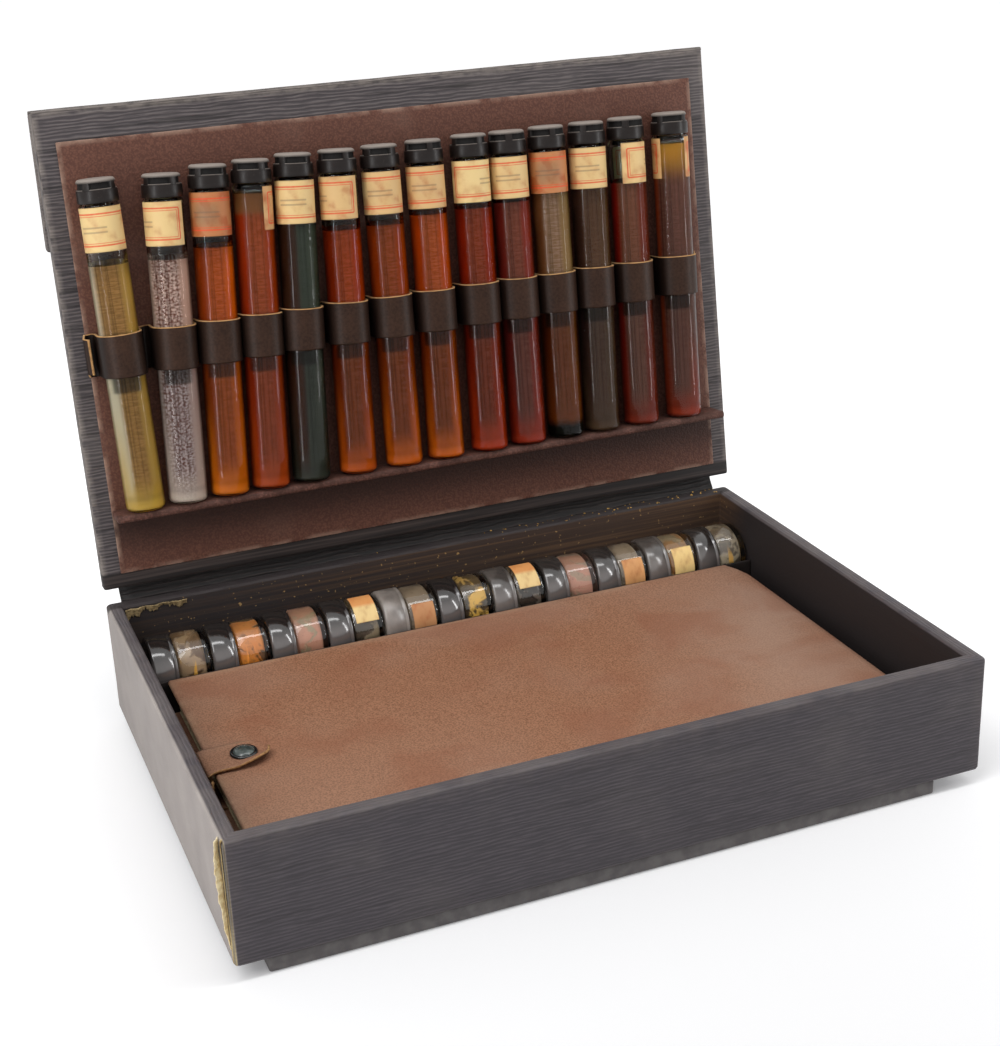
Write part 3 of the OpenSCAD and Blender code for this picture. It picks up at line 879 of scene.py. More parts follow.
@dataclass
class Shape:
    """Points and faces of a piece while it is made."""

    points: list[Vector] = field(default_factory=list)
    faces: list[tuple[int, ...]] = field(default_factory=list)
    laid: list[tuple[Spot, ...]] = field(default_factory=list)
    tints: list[int] = field(default_factory=list)
    masks: dict[str, list[float]] = field(default_factory=dict)

    def grid(
        self,
        rows: Sequence[Sequence[Vector]],
        laid: Callable[[int, int], Spot],
        closed: bool = False,
        tint: int = 0,
        **masks: Callable[[int, int], float],
    ) -> "Shape":
        """Adds a grid of points with its faces.

        Args:
            rows: Points, row by row.
            laid: Place on the laid-out covering of point (row, column).
            closed: Whether the last column joins the first.
            tint: The faces' material number.
            masks: Values held at the points, by name.

        Returns:
            The shape itself.
        """
        base = len(self.points)
        wide = len(rows[0])
        for r, row in enumerate(rows):
            for c, point in enumerate(row):
                self.points.append(Vector(point))
                for name, value in masks.items():
                    held = self.masks.setdefault(name, [])
                    held.extend([0.0] * (len(self.points) - 1 - len(held)))
                    held.append(value(r, c))
        for r in range(len(rows) - 1):
            here, next_row = base + r * wide, base + (r + 1) * wide
            for c in range(wide if closed else wide - 1):
                d = (c + 1) % wide
                self.faces.append((here + c, here + d, next_row + d, next_row + c))
                self.laid.append((laid(r, c), laid(r, c + 1), laid(r + 1, c + 1), laid(r + 1, c)))
                self.tints.append(tint)
        return self

    def add(self, other: "Shape") -> "Shape":
        """Adds another shape's points and faces.

        Args:
            other: The shape to add.

        Returns:
            The shape itself.
        """
        base = len(self.points)
        for name in {*self.masks, *other.masks}:
            held = self.masks.setdefault(name, [])
            held.extend([0.0] * (base - len(held)))
            held.extend(other.masks.get(name, []))
        self.points += other.points
        self.faces += [tuple(v + base for v in f) for f in other.faces]
        self.laid += other.laid
        self.tints += other.tints
        return self

    def flip(self) -> "Shape":
        """Turns every face over."""
        self.faces = [tuple(reversed(f)) for f in self.faces]
        self.laid = [tuple(reversed(f)) for f in self.laid]
        return self

    def move(self, matrix: Matrix) -> "Shape":
        """Moves every point by a matrix."""
        self.points = [matrix @ p for p in self.points]
        return self

    def piece(
        self,
        name: str,
        body: str,
        finishes: Sequence[Finish | bpy.types.Material],
        slot: str,
        replaces: Sequence[str] = (),
        smooth: bool = True,
        ride: bool = True,
    ) -> bpy.types.Object:
        """Makes the Blender object.

        Args:
            name: The piece's name.
            body: The body that it rides on.
            finishes: Its named finishes or its own materials, in order.
            slot: The record's material slot; not used.
            replaces: The solids that it stands for.
            smooth: Whether its faces shade smoothly.
            ride: Whether the piece is attached to its body.

        Returns:
            The object.
        """
        mesh = bpy.data.meshes.new(name)
        mesh.from_pydata([tuple(p) for p in self.points], [], self.faces)
        layer = mesh.uv_layers.new(name="laid")
        flat = [value for face in self.laid for pair in face for value in pair]
        layer.data.foreach_set("uv", flat)
        mesh.polygons.foreach_set("material_index", self.tints)
        mesh.polygons.foreach_set("use_smooth", [smooth] * len(self.faces))
        for key, values in self.masks.items():
            held = mesh.attributes.new(key, "FLOAT", "POINT")
            held.data.foreach_set("value", values + [0.0] * (len(self.points) - len(values)))
        for finish in finishes:
            mesh.materials.append(PAINT.of(finish) if isinstance(finish, Finish) else finish)
        mesh.update()
        thing = bpy.data.objects.new(name, mesh)
        bpy.context.scene.collection.objects.link(thing)
        if ride:
            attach(thing, body)
        if replaces:
            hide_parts(*replaces)
        LOG.info("made %s: %d faces on %s", name, len(self.faces), body)
        return thing


def spaced(length: float, radius: float, step: float) -> list[float]:
    """Places cuts along a side, closer in its rounded ends.

    Args:
        length: The side's length.
        radius: The rounding of its ends.
        step: The usual distance between two cuts.

    Returns:
        The cuts' places from 0 to the length.
    """
    hem = radius + 1.8 * MM if length > 2 * radius + 8 * MM else radius
    inner = max(1, round((length - 2 * hem) / step))
    middle = [hem + (length - 2 * hem) * i / inner for i in range(inner + 1)]
    near = [0.0, radius * 0.35, radius] if hem > radius else [0.0, radius * 0.35]
    return [*near, *middle, *(length - n for n in reversed(near))]


def board(
    low: Vector,
    high: Vector,
    radius: float,
    step: float,
    rub: float = 3 * MM,
    dent: float = 0.12 * MM,
) -> Shape:
    """Makes a covered board with rounded edges.

    Args:
        low: Its lowest corner.
        high: Its highest corner.
        radius: The rounding of its edges.
        step: The distance between its points.
        rub: How wide its edges are rubbed.
        dent: How deep its faces are dented.

    Returns:
        The board, with its ribs laid along X.
    """
    size = high - low
    bevel = [min(radius, side * MOST_ROUND) for side in size]
    cuts = [spaced(size[k], bevel[k], step) for k in range(3)]
    shape = Shape()
    shape.masks["edge"] = []
    index: dict[tuple[int, ...], int] = {}

    def corner(at: tuple[int, ...]) -> int:
        """Gives the number of a point of the board's lattice, and adds the point if it is new.

        Args:
            at: The point's place in the three lists of cuts.

        Returns:
            Its number.
        """
        if at not in index:
            p = Vector(cuts[a][at[a]] for a in range(3))
            core = Vector(min(max(p[a], bevel[a]), size[a] - bevel[a]) for a in range(3))
            out = p - core
            way = out.normalized() if out.length > TINY else Vector()
            if way.length > 0:
                p = core + way * min(bevel)
            near = sorted(min(p[a], size[a] - p[a]) for a in range(3))
            p = p + low
            p -= way * dent * (noise.noise(p * 60) * 0.5 + 0.5)
            index[at] = len(shape.points)
            shape.points.append(p)
            shape.masks["edge"].append(max(0.0, 1 - near[1] / rub))
        return index[at]

    for axis, (a, b) in enumerate(((1, 2), (2, 0), (0, 1))):
        first, second = sorted((a, b))
        for end in (0, len(cuts[axis]) - 1):
            for m in range(len(cuts[a]) - 1):
                for n in range(len(cuts[b]) - 1):
                    around = [(m, n), (m + 1, n), (m + 1, n + 1), (m, n + 1)]
                    if end == 0:
                        around.reverse()
                    ids = []
                    for q, r in around:
                        at = [end] * 3
                        at[a], at[b] = q, r
                        ids.append(corner(tuple(at)))
                    shape.faces.append(tuple(ids))
                    shape.laid.append(tuple((shape.points[v][first], shape.points[v][second]) for v in ids))
                    shape.tints.append(0)
    return shape


def turned(radius: float, height: float, c: int, turns: int) -> Vector:
    """Gives one of the points round the Z axis, at a radius and a height."""
    angle = 2 * math.pi * c / turns
    return Vector((radius * math.cos(angle), radius * math.sin(angle), height))


def lathe(outline: Sequence[Spot], turns: int = 64, tint: int = 0, shape: Shape | None = None) -> Shape:
    """Turns an outline of (radius, height) round Z.

    Args:
        outline: The outline, from the foot up the outside.
        turns: Points round the axis.
        tint: The faces' material number.
        shape: A shape to add to.

    Returns:
        The turned shape; its covering's second value is the height.
    """

    def laid(r: int, c: int) -> Spot:
        """Lays the girth along one value and the height along the other."""
        return outline[r][0] * 2 * math.pi * c / turns, outline[r][1]

    rows = [[turned(r, z, c, turns) for c in range(turns)] for r, z in outline]
    return (shape or Shape()).grid(rows, laid, True, tint)


def arc(centre: Spot, radius: float, start: float, end: float, steps: int) -> list[Spot]:
    """Gives points on an arc, its angles in degrees."""
    angles = [math.radians(start + (end - start) * i / steps) for i in range(steps + 1)]
    return [(centre[0] + radius * math.cos(a), centre[1] + radius * math.sin(a)) for a in angles]


def along(steps: Iterable[float]) -> list[float]:
    """Adds up the steps of a path, from 0."""
    return list(accumulate(steps, initial=0.0))


def boxed(node: str) -> tuple[Vector, Vector]:
    """Gives a solid's lowest and highest corners."""
    low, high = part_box(node)
    return Vector(low), Vector(high)


def thicken(thing: bpy.types.Object, depth: float, rim: int = 0, back: int = 0) -> None:
    """Gives a sheet its thickness.

    Args:
        thing: The sheet.
        depth: The thickness, half to each side.
        rim: How far the edge's material number is from the face's.
        back: How far the other side's material number is from the face's.
    """
    solid = thing.modifiers.new("thickness", "SOLIDIFY")
    solid.thickness = depth
    solid.offset = 0
    solid.material_offset_rim = rim
    solid.material_offset = back


@dataclass
class Stand:
    """Where the open lid stands, and the row of vials in it."""

    lean: float = 8.4
    base: Point = (0.0, 101.873 * MM, 63.893 * MM)
    length: float = 202.3 * MM
    thick: float = 6.5 * MM
    panel: float = 1.0 * MM
    strap_up: float = 102.0 * MM
    strap_rise: float = 67.0 * MM
    axis_out: float = 9.8 * MM
    vial_r: float = 8.3 * MM
    vial_h: float = 130.5 * MM
    pitch: float = 19.9 * MM
    shift: float = 2.4 * MM
    seat: float = 0.2 * MM
    middle: float = 6.5
    strays: tuple[float, ...] = (0, 2.5, 1.6, 0, -1.6, -1.1, -0.6, -0.4, 0.8, -0.5, -1.5, -2.4, -2.4, 0)
    leans: tuple[float, ...] = (-0.5, 3, 3.5, 3.5, 3.5, 2.5, 1.5, 1.5, 1.5, 1, 1, 1.5, 1, 1)
    shorts: tuple[float, ...] = (1.4, 2.4, 0.8, 0.6, 0, 0.3, 0.3, 0.2, 0, 0.2, 0, 0.2, 0, 0)

    def lid(self) -> Matrix:
        """Gives the lid's own frame: X, up the lid, out of its inner face."""
        return Matrix.Translation(self.base) @ Matrix.Rotation(math.radians(90 - self.lean), 4, "X")

    def vial_x(self, i: int) -> float:
        """Gives the place of a vial's axis at the strap."""
        return (i - self.middle) * self.pitch - self.shift + self.strays[i] * MM

    def vial_top(self, i: int) -> float:
        """Gives the height of a vial's glass up to its cap."""
        return self.vial_h - self.shorts[i] * MM

    def vial(self, i: int) -> Matrix:
        """Gives a vial's own frame, with Z up its axis from its foot.

        Args:
            i: The vial's number from 0.

        Returns:
            The frame.
        """
        tilt = math.radians(self.leans[i])
        drop = (self.strap_rise - self.seat - self.vial_r * math.sin(abs(tilt))) / math.cos(tilt)
        at = Matrix.Translation((self.vial_x(i), self.strap_up, self.axis_out))
        down = Matrix.Translation((0, -drop, 0))
        upright = Matrix.Rotation(-tilt, 4, "Z") @ down @ Matrix.Rotation(-math.pi / 2, 4, "X")
        return self.lid() @ at @ upright


STAND = Stand()


@dataclass
class Tray:
    """The tray: its covered walls, boards and hinge cloth."""

    rim: float = 1.5 * MM
    corner: float = 1.6 * MM
    inner_corner: float = 0.3 * MM
    step: float = 5.0 * MM
    coarse: float = 12.0 * MM
    worn: float = 4.0 * MM
    partition: float = 1.5 * MM
    bed: float = 2.0 * MM
    cloth_out: float = 0.45 * MM
    cloth_up: float = 24.0 * MM
    cloth_bow: float = 0.5 * MM
    cloth_thick: float = 0.6 * MM

    def build(self) -> None:
        """Makes the tray's pieces in order."""
        self.walls()
        self.boards()
        self.trough()
        self.hinge_cloth()

    def ring(self, low: Vector, high: Vector, radius: float) -> list[Vector]:
        """Walks round a rectangle with rounded corners.

        Args:
            low: Its lower corner.
            high: Its upper corner.
            radius: The rounding of its corners.

        Returns:
            The walk's points, counter-clockwise from the front left corner.
        """

        def bend(x: float, y: float, degrees: float) -> Vector:
            """Gives a point on the rounding of the corner at x and y."""
            in_x = radius if x == low.x else -radius
            in_y = radius if y == low.y else -radius
            angle = math.radians(degrees)
            return Vector((x + in_x, y + in_y, 0)) + radius * Vector((math.cos(angle), math.sin(angle), 0))

        span = boxed("back_wall")[1] - boxed("front_wall")[0]
        spots = [(low.x, low.y, 180), (high.x, low.y, 270), (high.x, high.y, 0), (low.x, high.y, 90)]
        walk: list[Vector] = []
        for n, (x, y, start) in enumerate(spots):
            walk += [bend(x, y, start + 22.5 * a) for a in range(5)]
            last, target = walk[-1], bend(*spots[(n + 1) % 4])
            count = round(span[n % 2] / self.step)
            walk += [last.lerp(target, i / count) for i in range(1, count)]
        return walk

    def section(self, low: float, high: float, wall: float) -> list[Spot]:
        """Draws the walls' section, from under the outer face over the rim to the inside.

        Args:
            low: The foot's height.
            high: The rim's height.
            wall: The walls' thickness.

        Returns:
            The section's points: distance from the outer face, and height.
        """
        side = [low + self.rim + (high - low - 2 * self.rim) * i / 8 for i in range(9)]
        turns = [math.radians(a) for a in (22, 45, 68, 90)]
        bow = [(self.rim * (1 - math.cos(a)), high - self.rim + self.rim * math.sin(a)) for a in turns]
        outline = [(wall * 0.5, low), (self.rim, low), (0.3 * MM, low + self.rim * 0.4)]
        outline += [(0.0, z) for z in side] + bow
        outline += [(wall - t, z) for t, z in reversed(bow)]
        outline += [(wall, z) for z in reversed(side)]
        return outline + [(wall, low), (wall * 0.5, low)]

    def walls(self) -> None:
        """Makes the four walls as one wrapped ring."""
        low, high = boxed("front_wall")[0], boxed("back_wall")[1]
        wall = boxed("front_wall")[1].y - low.y
        inset = Vector((wall, wall, 0))
        outer = self.ring(low, high, self.corner)
        inner = self.ring(low + inset, high - inset, self.inner_corner)
        outline = self.section(low.z, high.z, wall)
        run = along(math.dist(a, b) for a, b in pairwise(outline))
        girth = along((b - a).length for a, b in pairwise([*outer, outer[0]]))
        rows = []
        for t, z in outline:
            row = []
            for o, i in zip(outer, inner):
                p = o.lerp(i, t / wall)
                wave = noise.noise(Vector((p.x * 22, p.y * 22, z * 40))) * 0.5 + 0.5
                keep = 0.25 * MM * wave if 0 < t < wall or z > low.z + 10 * MM else 0.0
                p = p.lerp((o + i) / 2, keep / (wall / 2))
                sink = 0.2 * MM * wave if z > high.z - 2 * self.rim else 0.0
                row.append(Vector((p.x, p.y, z - sink)))
            rows.append(row)
        rimmed = [max(0.0, 1 - abs(high.z - z) / self.worn) if t in (0.0, wall) else 0.9 for t, z in outline]
        corners = [Vector((x, y, 0)) for x in (low.x, high.x) for y in (low.y, high.y)]
        bent = [max(0.0, 1 - min((o - c).length for c in corners) / self.worn) for o in outer]
        shape = Shape().grid(
            rows,
            lambda r, c: (girth[c], run[r]),
            True,
            edge=lambda r, c: max(rimmed[r], bent[c]),
        )
        nodes = ("front_wall", "back_wall", "left_wall", "right_wall")
        shape.flip().piece("tray_walls", "tray", [Finish.TRAY], "leatherette", nodes)

    def boards(self) -> None:
        """Makes the foot and the bottom."""
        for node, finish, radius, slot in (
            ("foot_board", Finish.FOOT, 1.0 * MM, "foot"),
            ("bottom_board", Finish.INSIDE, 0.4 * MM, "inner_black"),
        ):
            shape = board(*boxed(node), radius, self.coarse, self.worn, 0.1 * MM)
            shape.piece(node + "_dressed", "tray", [finish], slot, [node])

    def trough(self) -> None:
        """Makes the partition and the bed that the jars lie on."""
        low, high = boxed("jar_partition")
        back = low.y + self.partition
        upright = board(low, Vector((high.x, back, high.z)), 0.5 * MM, self.coarse)
        bed_high = Vector((high.x, high.y, low.z + self.bed))
        upright.add(board(Vector((low.x, back, low.z)), bed_high, 0.3 * MM, self.coarse))
        upright.piece("trough", "tray", [Finish.INSIDE], "inner_black", ["jar_partition"])

    def hinge_cloth(self) -> None:
        """Makes the cloth that joins the lid to the back wall."""
        low, high = boxed("lid_hinge_cloth")
        rim = boxed("back_wall")[1]
        lid, out = STAND.lid(), self.cloth_out
        first = [Vector((0, rim.y + out, low.z + (rim.z - low.z) * i / 6)) for i in range(7)]
        last = [lid @ Vector((0, self.cloth_up * i / 6, -STAND.thick - out)) for i in range(7)]
        start, end = first[-1], last[0]
        bows = [Vector((0, self.cloth_bow * math.sin(math.pi * i / 6), 0)) for i in range(7)]
        path = first + [start.lerp(end, i / 6) + bows[i] for i in range(1, 6)] + last
        run = along((b - a).length for a, b in pairwise(path))
        wide, steps = high.x - low.x, 48
        rows = [[Vector((low.x + wide * c / steps, p.y, p.z)) for c in range(steps + 1)] for p in path]
        hems = (0, len(path) - 1)
        shape = Shape().grid(
            rows,
            lambda r, c: (wide * c / steps, run[r]),
            edge=lambda r, c: float(r in hems),
        )
        # One side is near black, painted shade of the gap under the lid; the other keeps the ribbed
        # covering.
        sides = [Finish.HINGE, Finish.RIBBED]
        cloth = shape.piece("hinge_cloth", "tray", sides, "hinge_cloth", ["lid_hinge_cloth"], ride=False)
        thicken(cloth, self.cloth_thick, 0, 1)
        tuple(start)
        tuple(end)
        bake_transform(cloth)


@dataclass
class Lid:
    """The lid: its board, lining, ledge and front flap."""

    bevel: float = 1.2 * MM
    step: float = 6.0 * MM
    panel_foot: float = 6.5 * MM
    panel_top: float = 189.7 * MM
    ledge_foot: float = 31.6 * MM
    ledge_top: float = 35.0 * MM
    ledge_in: float = 0.8 * MM
    ledge_out: float = 15.6 * MM
    fold_thick: float = 0.5 * MM
    fold_bend: Spot = (-5.5 * MM, -7.5 * MM)

    def build(self) -> None:
        """Makes the lid's pieces in order."""
        turn = STAND.lid()
        half = boxed("lid_board")[1].x
        low, high = Vector((-half, 0, -STAND.thick)), Vector((half, STAND.length, 0))
        shape = board(low, high, self.bevel, self.step).move(turn)
        shape.piece("lid_board_dressed", "lid", [Finish.RIBBED_LID], "leatherette", ["lid_board"])
        half = boxed("lid_panel")[1].x
        low, high = Vector((-half, self.panel_foot, -0.2 * MM)), Vector((half, self.panel_top, STAND.panel))
        shape = board(low, high, 0.5 * MM, 8 * MM, 1.4 * MM).move(turn)
        shape.piece("lining_panel", "lid", [Finish.PEBBLE], "lining_brown", ["lid_panel"])
        half = boxed("vial_ledge")[1].x
        low = Vector((-half, self.ledge_foot, self.ledge_in))
        high = Vector((half, self.ledge_top, self.ledge_out))
        shape = board(low, high, self.bevel, 4 * MM, 4 * MM).move(turn)
        shape.piece("ledge", "lid", [Finish.LEDGE], "lining_brown", ["vial_ledge"])
        self.flap()

    def flap(self) -> None:
        """Makes the front flap and the cloth that it hangs from."""
        shape = board(*boxed("front_flap"), self.bevel, self.step)
        shape.piece("flap_board", "flap", [Finish.RIBBED_LID], "leatherette", ["front_flap"])
        turn = STAND.lid()
        width = boxed("front_flap")[1].x - 0.3 * MM
        spots = [(-0.7, -0.35), (-0.1, -0.5), (0.25, -0.8), *((0.42, -1.2 * k) for k in range(1, 9))]
        spots += [(0.2, -11.2), (-0.6, -11.9), (-3.0, -12.2)]
        path = [Vector((0, STAND.length + u * MM, n * MM)) for u, n in spots]
        run = along((b - a).length for a, b in pairwise(path))
        steps = 60
        rows = []
        for p in path:
            row = []
            for c in range(steps + 1):
                x = -width + 2 * width * c / steps
                sag = 0.25 * MM * noise.noise(Vector((x * 40, p.z * 90, 3.0)))
                row.append(turn @ Vector((x, p.y + sag, p.z)))
            rows.append(row)
        shape = Shape().grid(rows, lambda r, c: (2 * width * c / steps, run[r]), edge=lambda r, c: 0.7)
        nodes = ["flap_hinge_cloth"]
        fold = shape.piece("flap_fold", "lid", [Finish.FOLD], "hinge_cloth", nodes, ride=False)
        thicken(fold, self.fold_thick)
        start, end = (turn @ Vector((0, STAND.length, n)) for n in self.fold_bend)
        tuple(start)
        tuple(end)
        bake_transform(fold)


@dataclass
class Sample:
    """One vial's oil and label: the label's two edges in degrees from where the viewer stands."""

    oil: Oil
    label: Spot = (-150, 140)
    soaked: float = 0.12
    fill: float = 103.0


SAMPLES = (
    Sample(
        Oil("8a6230", "d8c6a6", "bf9340", "d8ac48", 0.4, 0.5, upper=(1.15, 1.12, 1.15), narrow=0.36),
        (-150, 120),
        0.05,
    ),
    Sample(
        Oil(
            *("6a3c32", "d2bcb0", "c09c90", "dcc2b2", 0.4, 0.44),
            rim_from=0.9,
            pale="dcc8c4",
            weave=(7, 1000),
            upper=(1.35, 1.2, 1.05),
        ),
        (-205, 73),
        0.1,
    ),
    Sample(Oil("7e360b", "732a08", "ae4c08", "de7011"), soaked=0.85, fill=104),
    Sample(
        Oil(
            *("762f12", "822308", "913009", "b24412"),
            crown="7f4d29",
            crown_at=(0.1160, 0.1190),
            upper=(1.3, 1.3, 1.0),
        ),
        (38, 280),
        0.45,
        124,
    ),
    Sample(
        Oil("2b2c25", "33190f", "36382e", "2a2b23", 0.2, 0.2, rim_from=0.08, upper=(1.1, 1.2, 1.1)),
        (-140, 140),
        0.1,
        109,
    ),
    Sample(Oil("642907", "5c1c05", "7b2a04", "c2520c", upper=(1.8, 1.2, 0.7)), (-215, 68), 0.28, 104),
    Sample(Oil("662a07", "6d2605", "832f04", "d2600c"), soaked=0.28, fill=104),
    Sample(Oil("642a08", "702503", "823104", "d2600e", upper=(2.2, 1.9, 1.5)), soaked=0.32, fill=106),
    Sample(Oil("602209", "6c1705", "781d04", "b2340e"), (-73, 210), 0.0, 106),
    Sample(Oil("55281d", "591814", "722014", "98280e"), soaked=0.15, fill=107),
    Sample(
        Oil("5a2a10", "4b1a06", "663413", "74340a", 0.25, 0.3, 1.0, upper=(2.2, 4.6, 8.0)),
        soaked=0.8,
        fill=109,
    ),
    Sample(Oil("3e291e", "2c1a16", "46301f", "4a3322", 0.2, 0.25), fill=109),
    Sample(Oil("553327", "6e130c", "5d2114", "7a2412", 0.2, 0.25, rim_from=0.62), (-20, 230), fill=109),
    Sample(
        Oil(
            *("523026", "a83a0c", "5c382c", "8c2a12", 0.2, 0.25),
            rim_from=0.84,
            crown="c48426",
            upper=(1.2, 1.15, 1.1),
        ),
        (44, 323),
        0.4,
        124,
    ),
)


@dataclass
class Vials:
    """The vials in the lid: glass, oil, labels, caps and the strap that holds them."""

    radius: float = 8.3 * MM
    wall: float = 1.1 * MM
    neck: float = 6.0 * MM
    cap_r: float = 8.5 * MM
    cap_turns: int = 120
    grip_deep: float = 1.0 * MM
    grip_band: Spot = (5.55 * MM, 8.05 * MM)
    grip_shelf: Spot = (5.3 * MM, 5.55 * MM)
    strap_w: float = 18 * MM
    strap_t: float = 0.8 * MM
    strap_dip: float = 1.2 * MM
    label_low: float = 111.1 * MM
    label_h: float = 18 * MM
    view_turn: float = -21.0
    eye: Spot = (-0.243, -0.724)

    def build(self) -> None:
        """Makes every vial and the strap."""
        for i, sample in enumerate(SAMPLES):
            self.glass(i, sample)
            self.oil(i, sample)
            self.label(i, sample)
            self.cap(i)
        self.strap()

    def glass(self, i: int, sample: Sample) -> None:
        """Makes a vial's glass, with the air over its oil.

        Args:
            i: The vial's number from 0.
            sample: What it holds.
        """
        r, h, n = self.radius, STAND.vial_top(i), i + 1
        outline = [(0.0, 0.5 * MM), (3.5 * MM, 0.35 * MM), *arc((r - 2 * MM, 2 * MM), 2 * MM, -90, 0, 6)]
        outline += [(r, h * k / 8) for k in range(1, 8)]
        outline += [(r, h - 2.2 * MM), *arc((r - 1.8 * MM, h - 1.8 * MM), 1.8 * MM, 10, 90, 5)]
        outline += [(self.neck, h + 0.1 * MM), (self.neck, h + 6 * MM), (0.0, h + 6 * MM)]
        inside, top = r - self.wall, self.fill_top(i, sample)
        air = [(0.0, h), (4.5 * MM, h), (inside, h - 3.5 * MM), (inside, top + 1.2 * MM)]
        air += [(inside * 0.9, top + 0.5 * MM), (0.0, top + 0.3 * MM)]
        shape = lathe(air, shape=lathe(outline)).move(STAND.vial(i))
        shape.piece(f"vial_glass_{n}", f"vial_body_{n}", [Finish.GLASS], "vial_glass", [f"vial_{n}"])

    def fill_top(self, i: int, sample: Sample) -> float:
        """Gives the height of a vial's oil, which falls with a shorter vial."""
        return (sample.fill + 1.5 - STAND.shorts[i]) * MM

    def oil(self, i: int, sample: Sample) -> None:
        """Makes the oil in a vial.

        Args:
            i: The vial's number from 0.
            sample: What it holds.
        """
        r, top = self.radius - 0.5 * MM, self.fill_top(i, sample)
        outline = [(0.0, 1.0 * MM), (r - 1.9 * MM, 0.9 * MM)]
        outline += arc((r - 1.7 * MM, 2.6 * MM), 1.7 * MM, -80, 0, 5)
        outline += [(r, top * k / 6) for k in range(1, 6)]
        outline += [(r, top + 0.9 * MM), (r * 0.9, top + 0.2 * MM), (0.0, top)]
        shape = lathe(outline)
        # The side mask runs across the vial as the camera sees it; the oil's painted light and shade follow
        # it.
        turn = math.atan2(STAND.vial_x(i) - self.eye[0], -self.eye[1])
        right = Vector((math.cos(turn), -math.sin(turn), 0.0))
        shape.masks["side"] = [p.dot(right) / r for p in shape.points]
        finish = PAINT.custom(f"oil_{i + 1}", sample.oil)
        shape.move(STAND.vial(i)).piece(f"vial_oil_{i + 1}", f"vial_body_{i + 1}", [finish], "vial_glass")

    def label(self, i: int, sample: Sample) -> None:
        """Makes a vial's paper label, wrapped round its glass.

        Args:
            i: The vial's number from 0.
            sample: Where its label starts and ends.
        """
        first, last = (math.radians(a + self.view_turn) for a in sample.label)
        base = self.label_low - STAND.shorts[i] * MM
        r = self.radius + 0.09 * MM
        wide = (last - first) * r
        turns, tall = 48, 4
        rows = []
        for t in range(tall + 1):
            row = []
            for c in range(turns + 1):
                a = first + (last - first) * c / turns
                out = r + 0.06 * MM * noise.noise(Vector((a * 2, t * 0.7, i * 3.1)))
                row.append(Vector((out * math.sin(a), -out * math.cos(a), base + self.label_h * t / tall)))
            rows.append(row)
        shape = Shape().grid(
            rows,
            lambda t, c: (wide * (c / turns - 0.5), self.label_h * t / tall),
            half_width=lambda t, c: wide / 2,
        )
        finish = PAINT.custom(f"label_{i + 1}", Label(soaked=sample.soaked))
        shape.move(STAND.vial(i)).piece(f"vial_label_{i + 1}", f"vial_body_{i + 1}", [finish], "vial_glass")

    def cap(self, i: int) -> None:
        """Makes a vial's cap, with grip notches round its crown.

        Args:
            i: The vial's number from 0.
        """
        r, turns, n = self.cap_r, self.cap_turns, i + 1
        steps = [(0.9, 0.0), (0.15, 0.0), (0.0, 0.2), (0.0, 2.7), (0.0, 4.8), (0.05, 5.0), (0.3, 5.15)]
        steps += [(0.32, 5.5), (0.33, 5.58), (0.42, 6.8), (0.5, 8.0), (0.51, 8.08), (0.56, 8.5)]
        steps += [(0.68, 8.95), (0.95, 9.3), (1.4, 9.56), (2.1, 9.72), (3.4, 9.8), (8.5, 9.8)]
        outline = [(r - inset * MM, z * MM) for inset, z in steps]
        grips = [self.gripped(c, i) for c in range(turns)]
        pits = [self.grip_band[0] < z < self.grip_band[1] for _, z in outline]
        shelves = [self.grip_shelf[0] < z < self.grip_shelf[1] for _, z in outline]
        rows = []
        for (reach, z), pit in zip(outline, pits):
            deep = [self.grip_deep if pit and grip else 0.0 for grip in grips]
            rows.append([turned(reach - deep[c], z, c, turns) for c in range(turns)])
        # The pit mask carries painted shade and the shelf mask a painted highlight.
        shape = Shape().grid(
            rows,
            lambda k, c: (r * 2 * math.pi * c / turns, outline[k][1]),
            True,
            pit=lambda k, c: float(grips[c] and pits[k]),
            shelf=lambda k, c: float(grips[c] and shelves[k]),
        )
        shape.move(STAND.vial(i) @ Matrix.Translation((0, 0, STAND.vial_top(i) + STAND.seat)))
        cap = shape.piece(f"cap_{n}", f"vial_cap_body_{n}", [Finish.CAP], "cap_black", [f"vial_cap_{n}"])
        cap.data.set_sharp_from_angle(angle=math.radians(38))

    def gripped(self, c: int, i: int) -> bool:
        """Tells whether a grip notch lies at one of the points round a cap; no two caps stand alike."""
        return abs((3 * c + 23 * i * i + 40) % 90 - 45) < 34

    def strap_point(self, i: int, across: float, out: float, up: float) -> Vector:
        """Places a point of the strap round one vial.

        Args:
            i: The vial's number from 0.
            across: Distance from the vial's axis.
            out: Distance from the lid's inner face.
            up: Distance up the strap's width from its middle.

        Returns:
            The point in the lid's own frame.
        """
        tilt = math.radians(STAND.leans[i])
        x = STAND.vial_x(i) + across * math.cos(tilt) + up * math.sin(tilt)
        return Vector((x, STAND.strap_up - across * math.sin(tilt) + up * math.cos(tilt), out))

    def strap(self) -> None:
        """Makes the strap, which runs over each vial and dips to the lining between two."""
        loop = self.radius + 0.3 * MM + self.strap_t / 2
        floor = STAND.panel + self.strap_t / 2 + 0.05 * MM
        rise = floor + self.strap_dip
        crown = STAND.axis_out
        widths = [-1.0, -0.94, -0.5, 0.0, 0.5, 0.94, 1.0]
        trail: list[list[Vector]] = []
        dips: list[float] = []

        def rank(place: Callable[[float], Vector], ragged: float, dip: float = 1.0) -> None:
            """Adds one row across the strap's width."""
            # Each row keeps how much painted shade it takes.
            dips.append(dip)
            row = []
            for w in widths:
                jag = noise.noise(Vector((ragged * 3.1, w * 0.6, 5.0)))
                row.append(place(w * self.strap_w / 2 + (0.35 * MM * jag if abs(w) > 0.9 else 0.0)))
            trail.append(row)

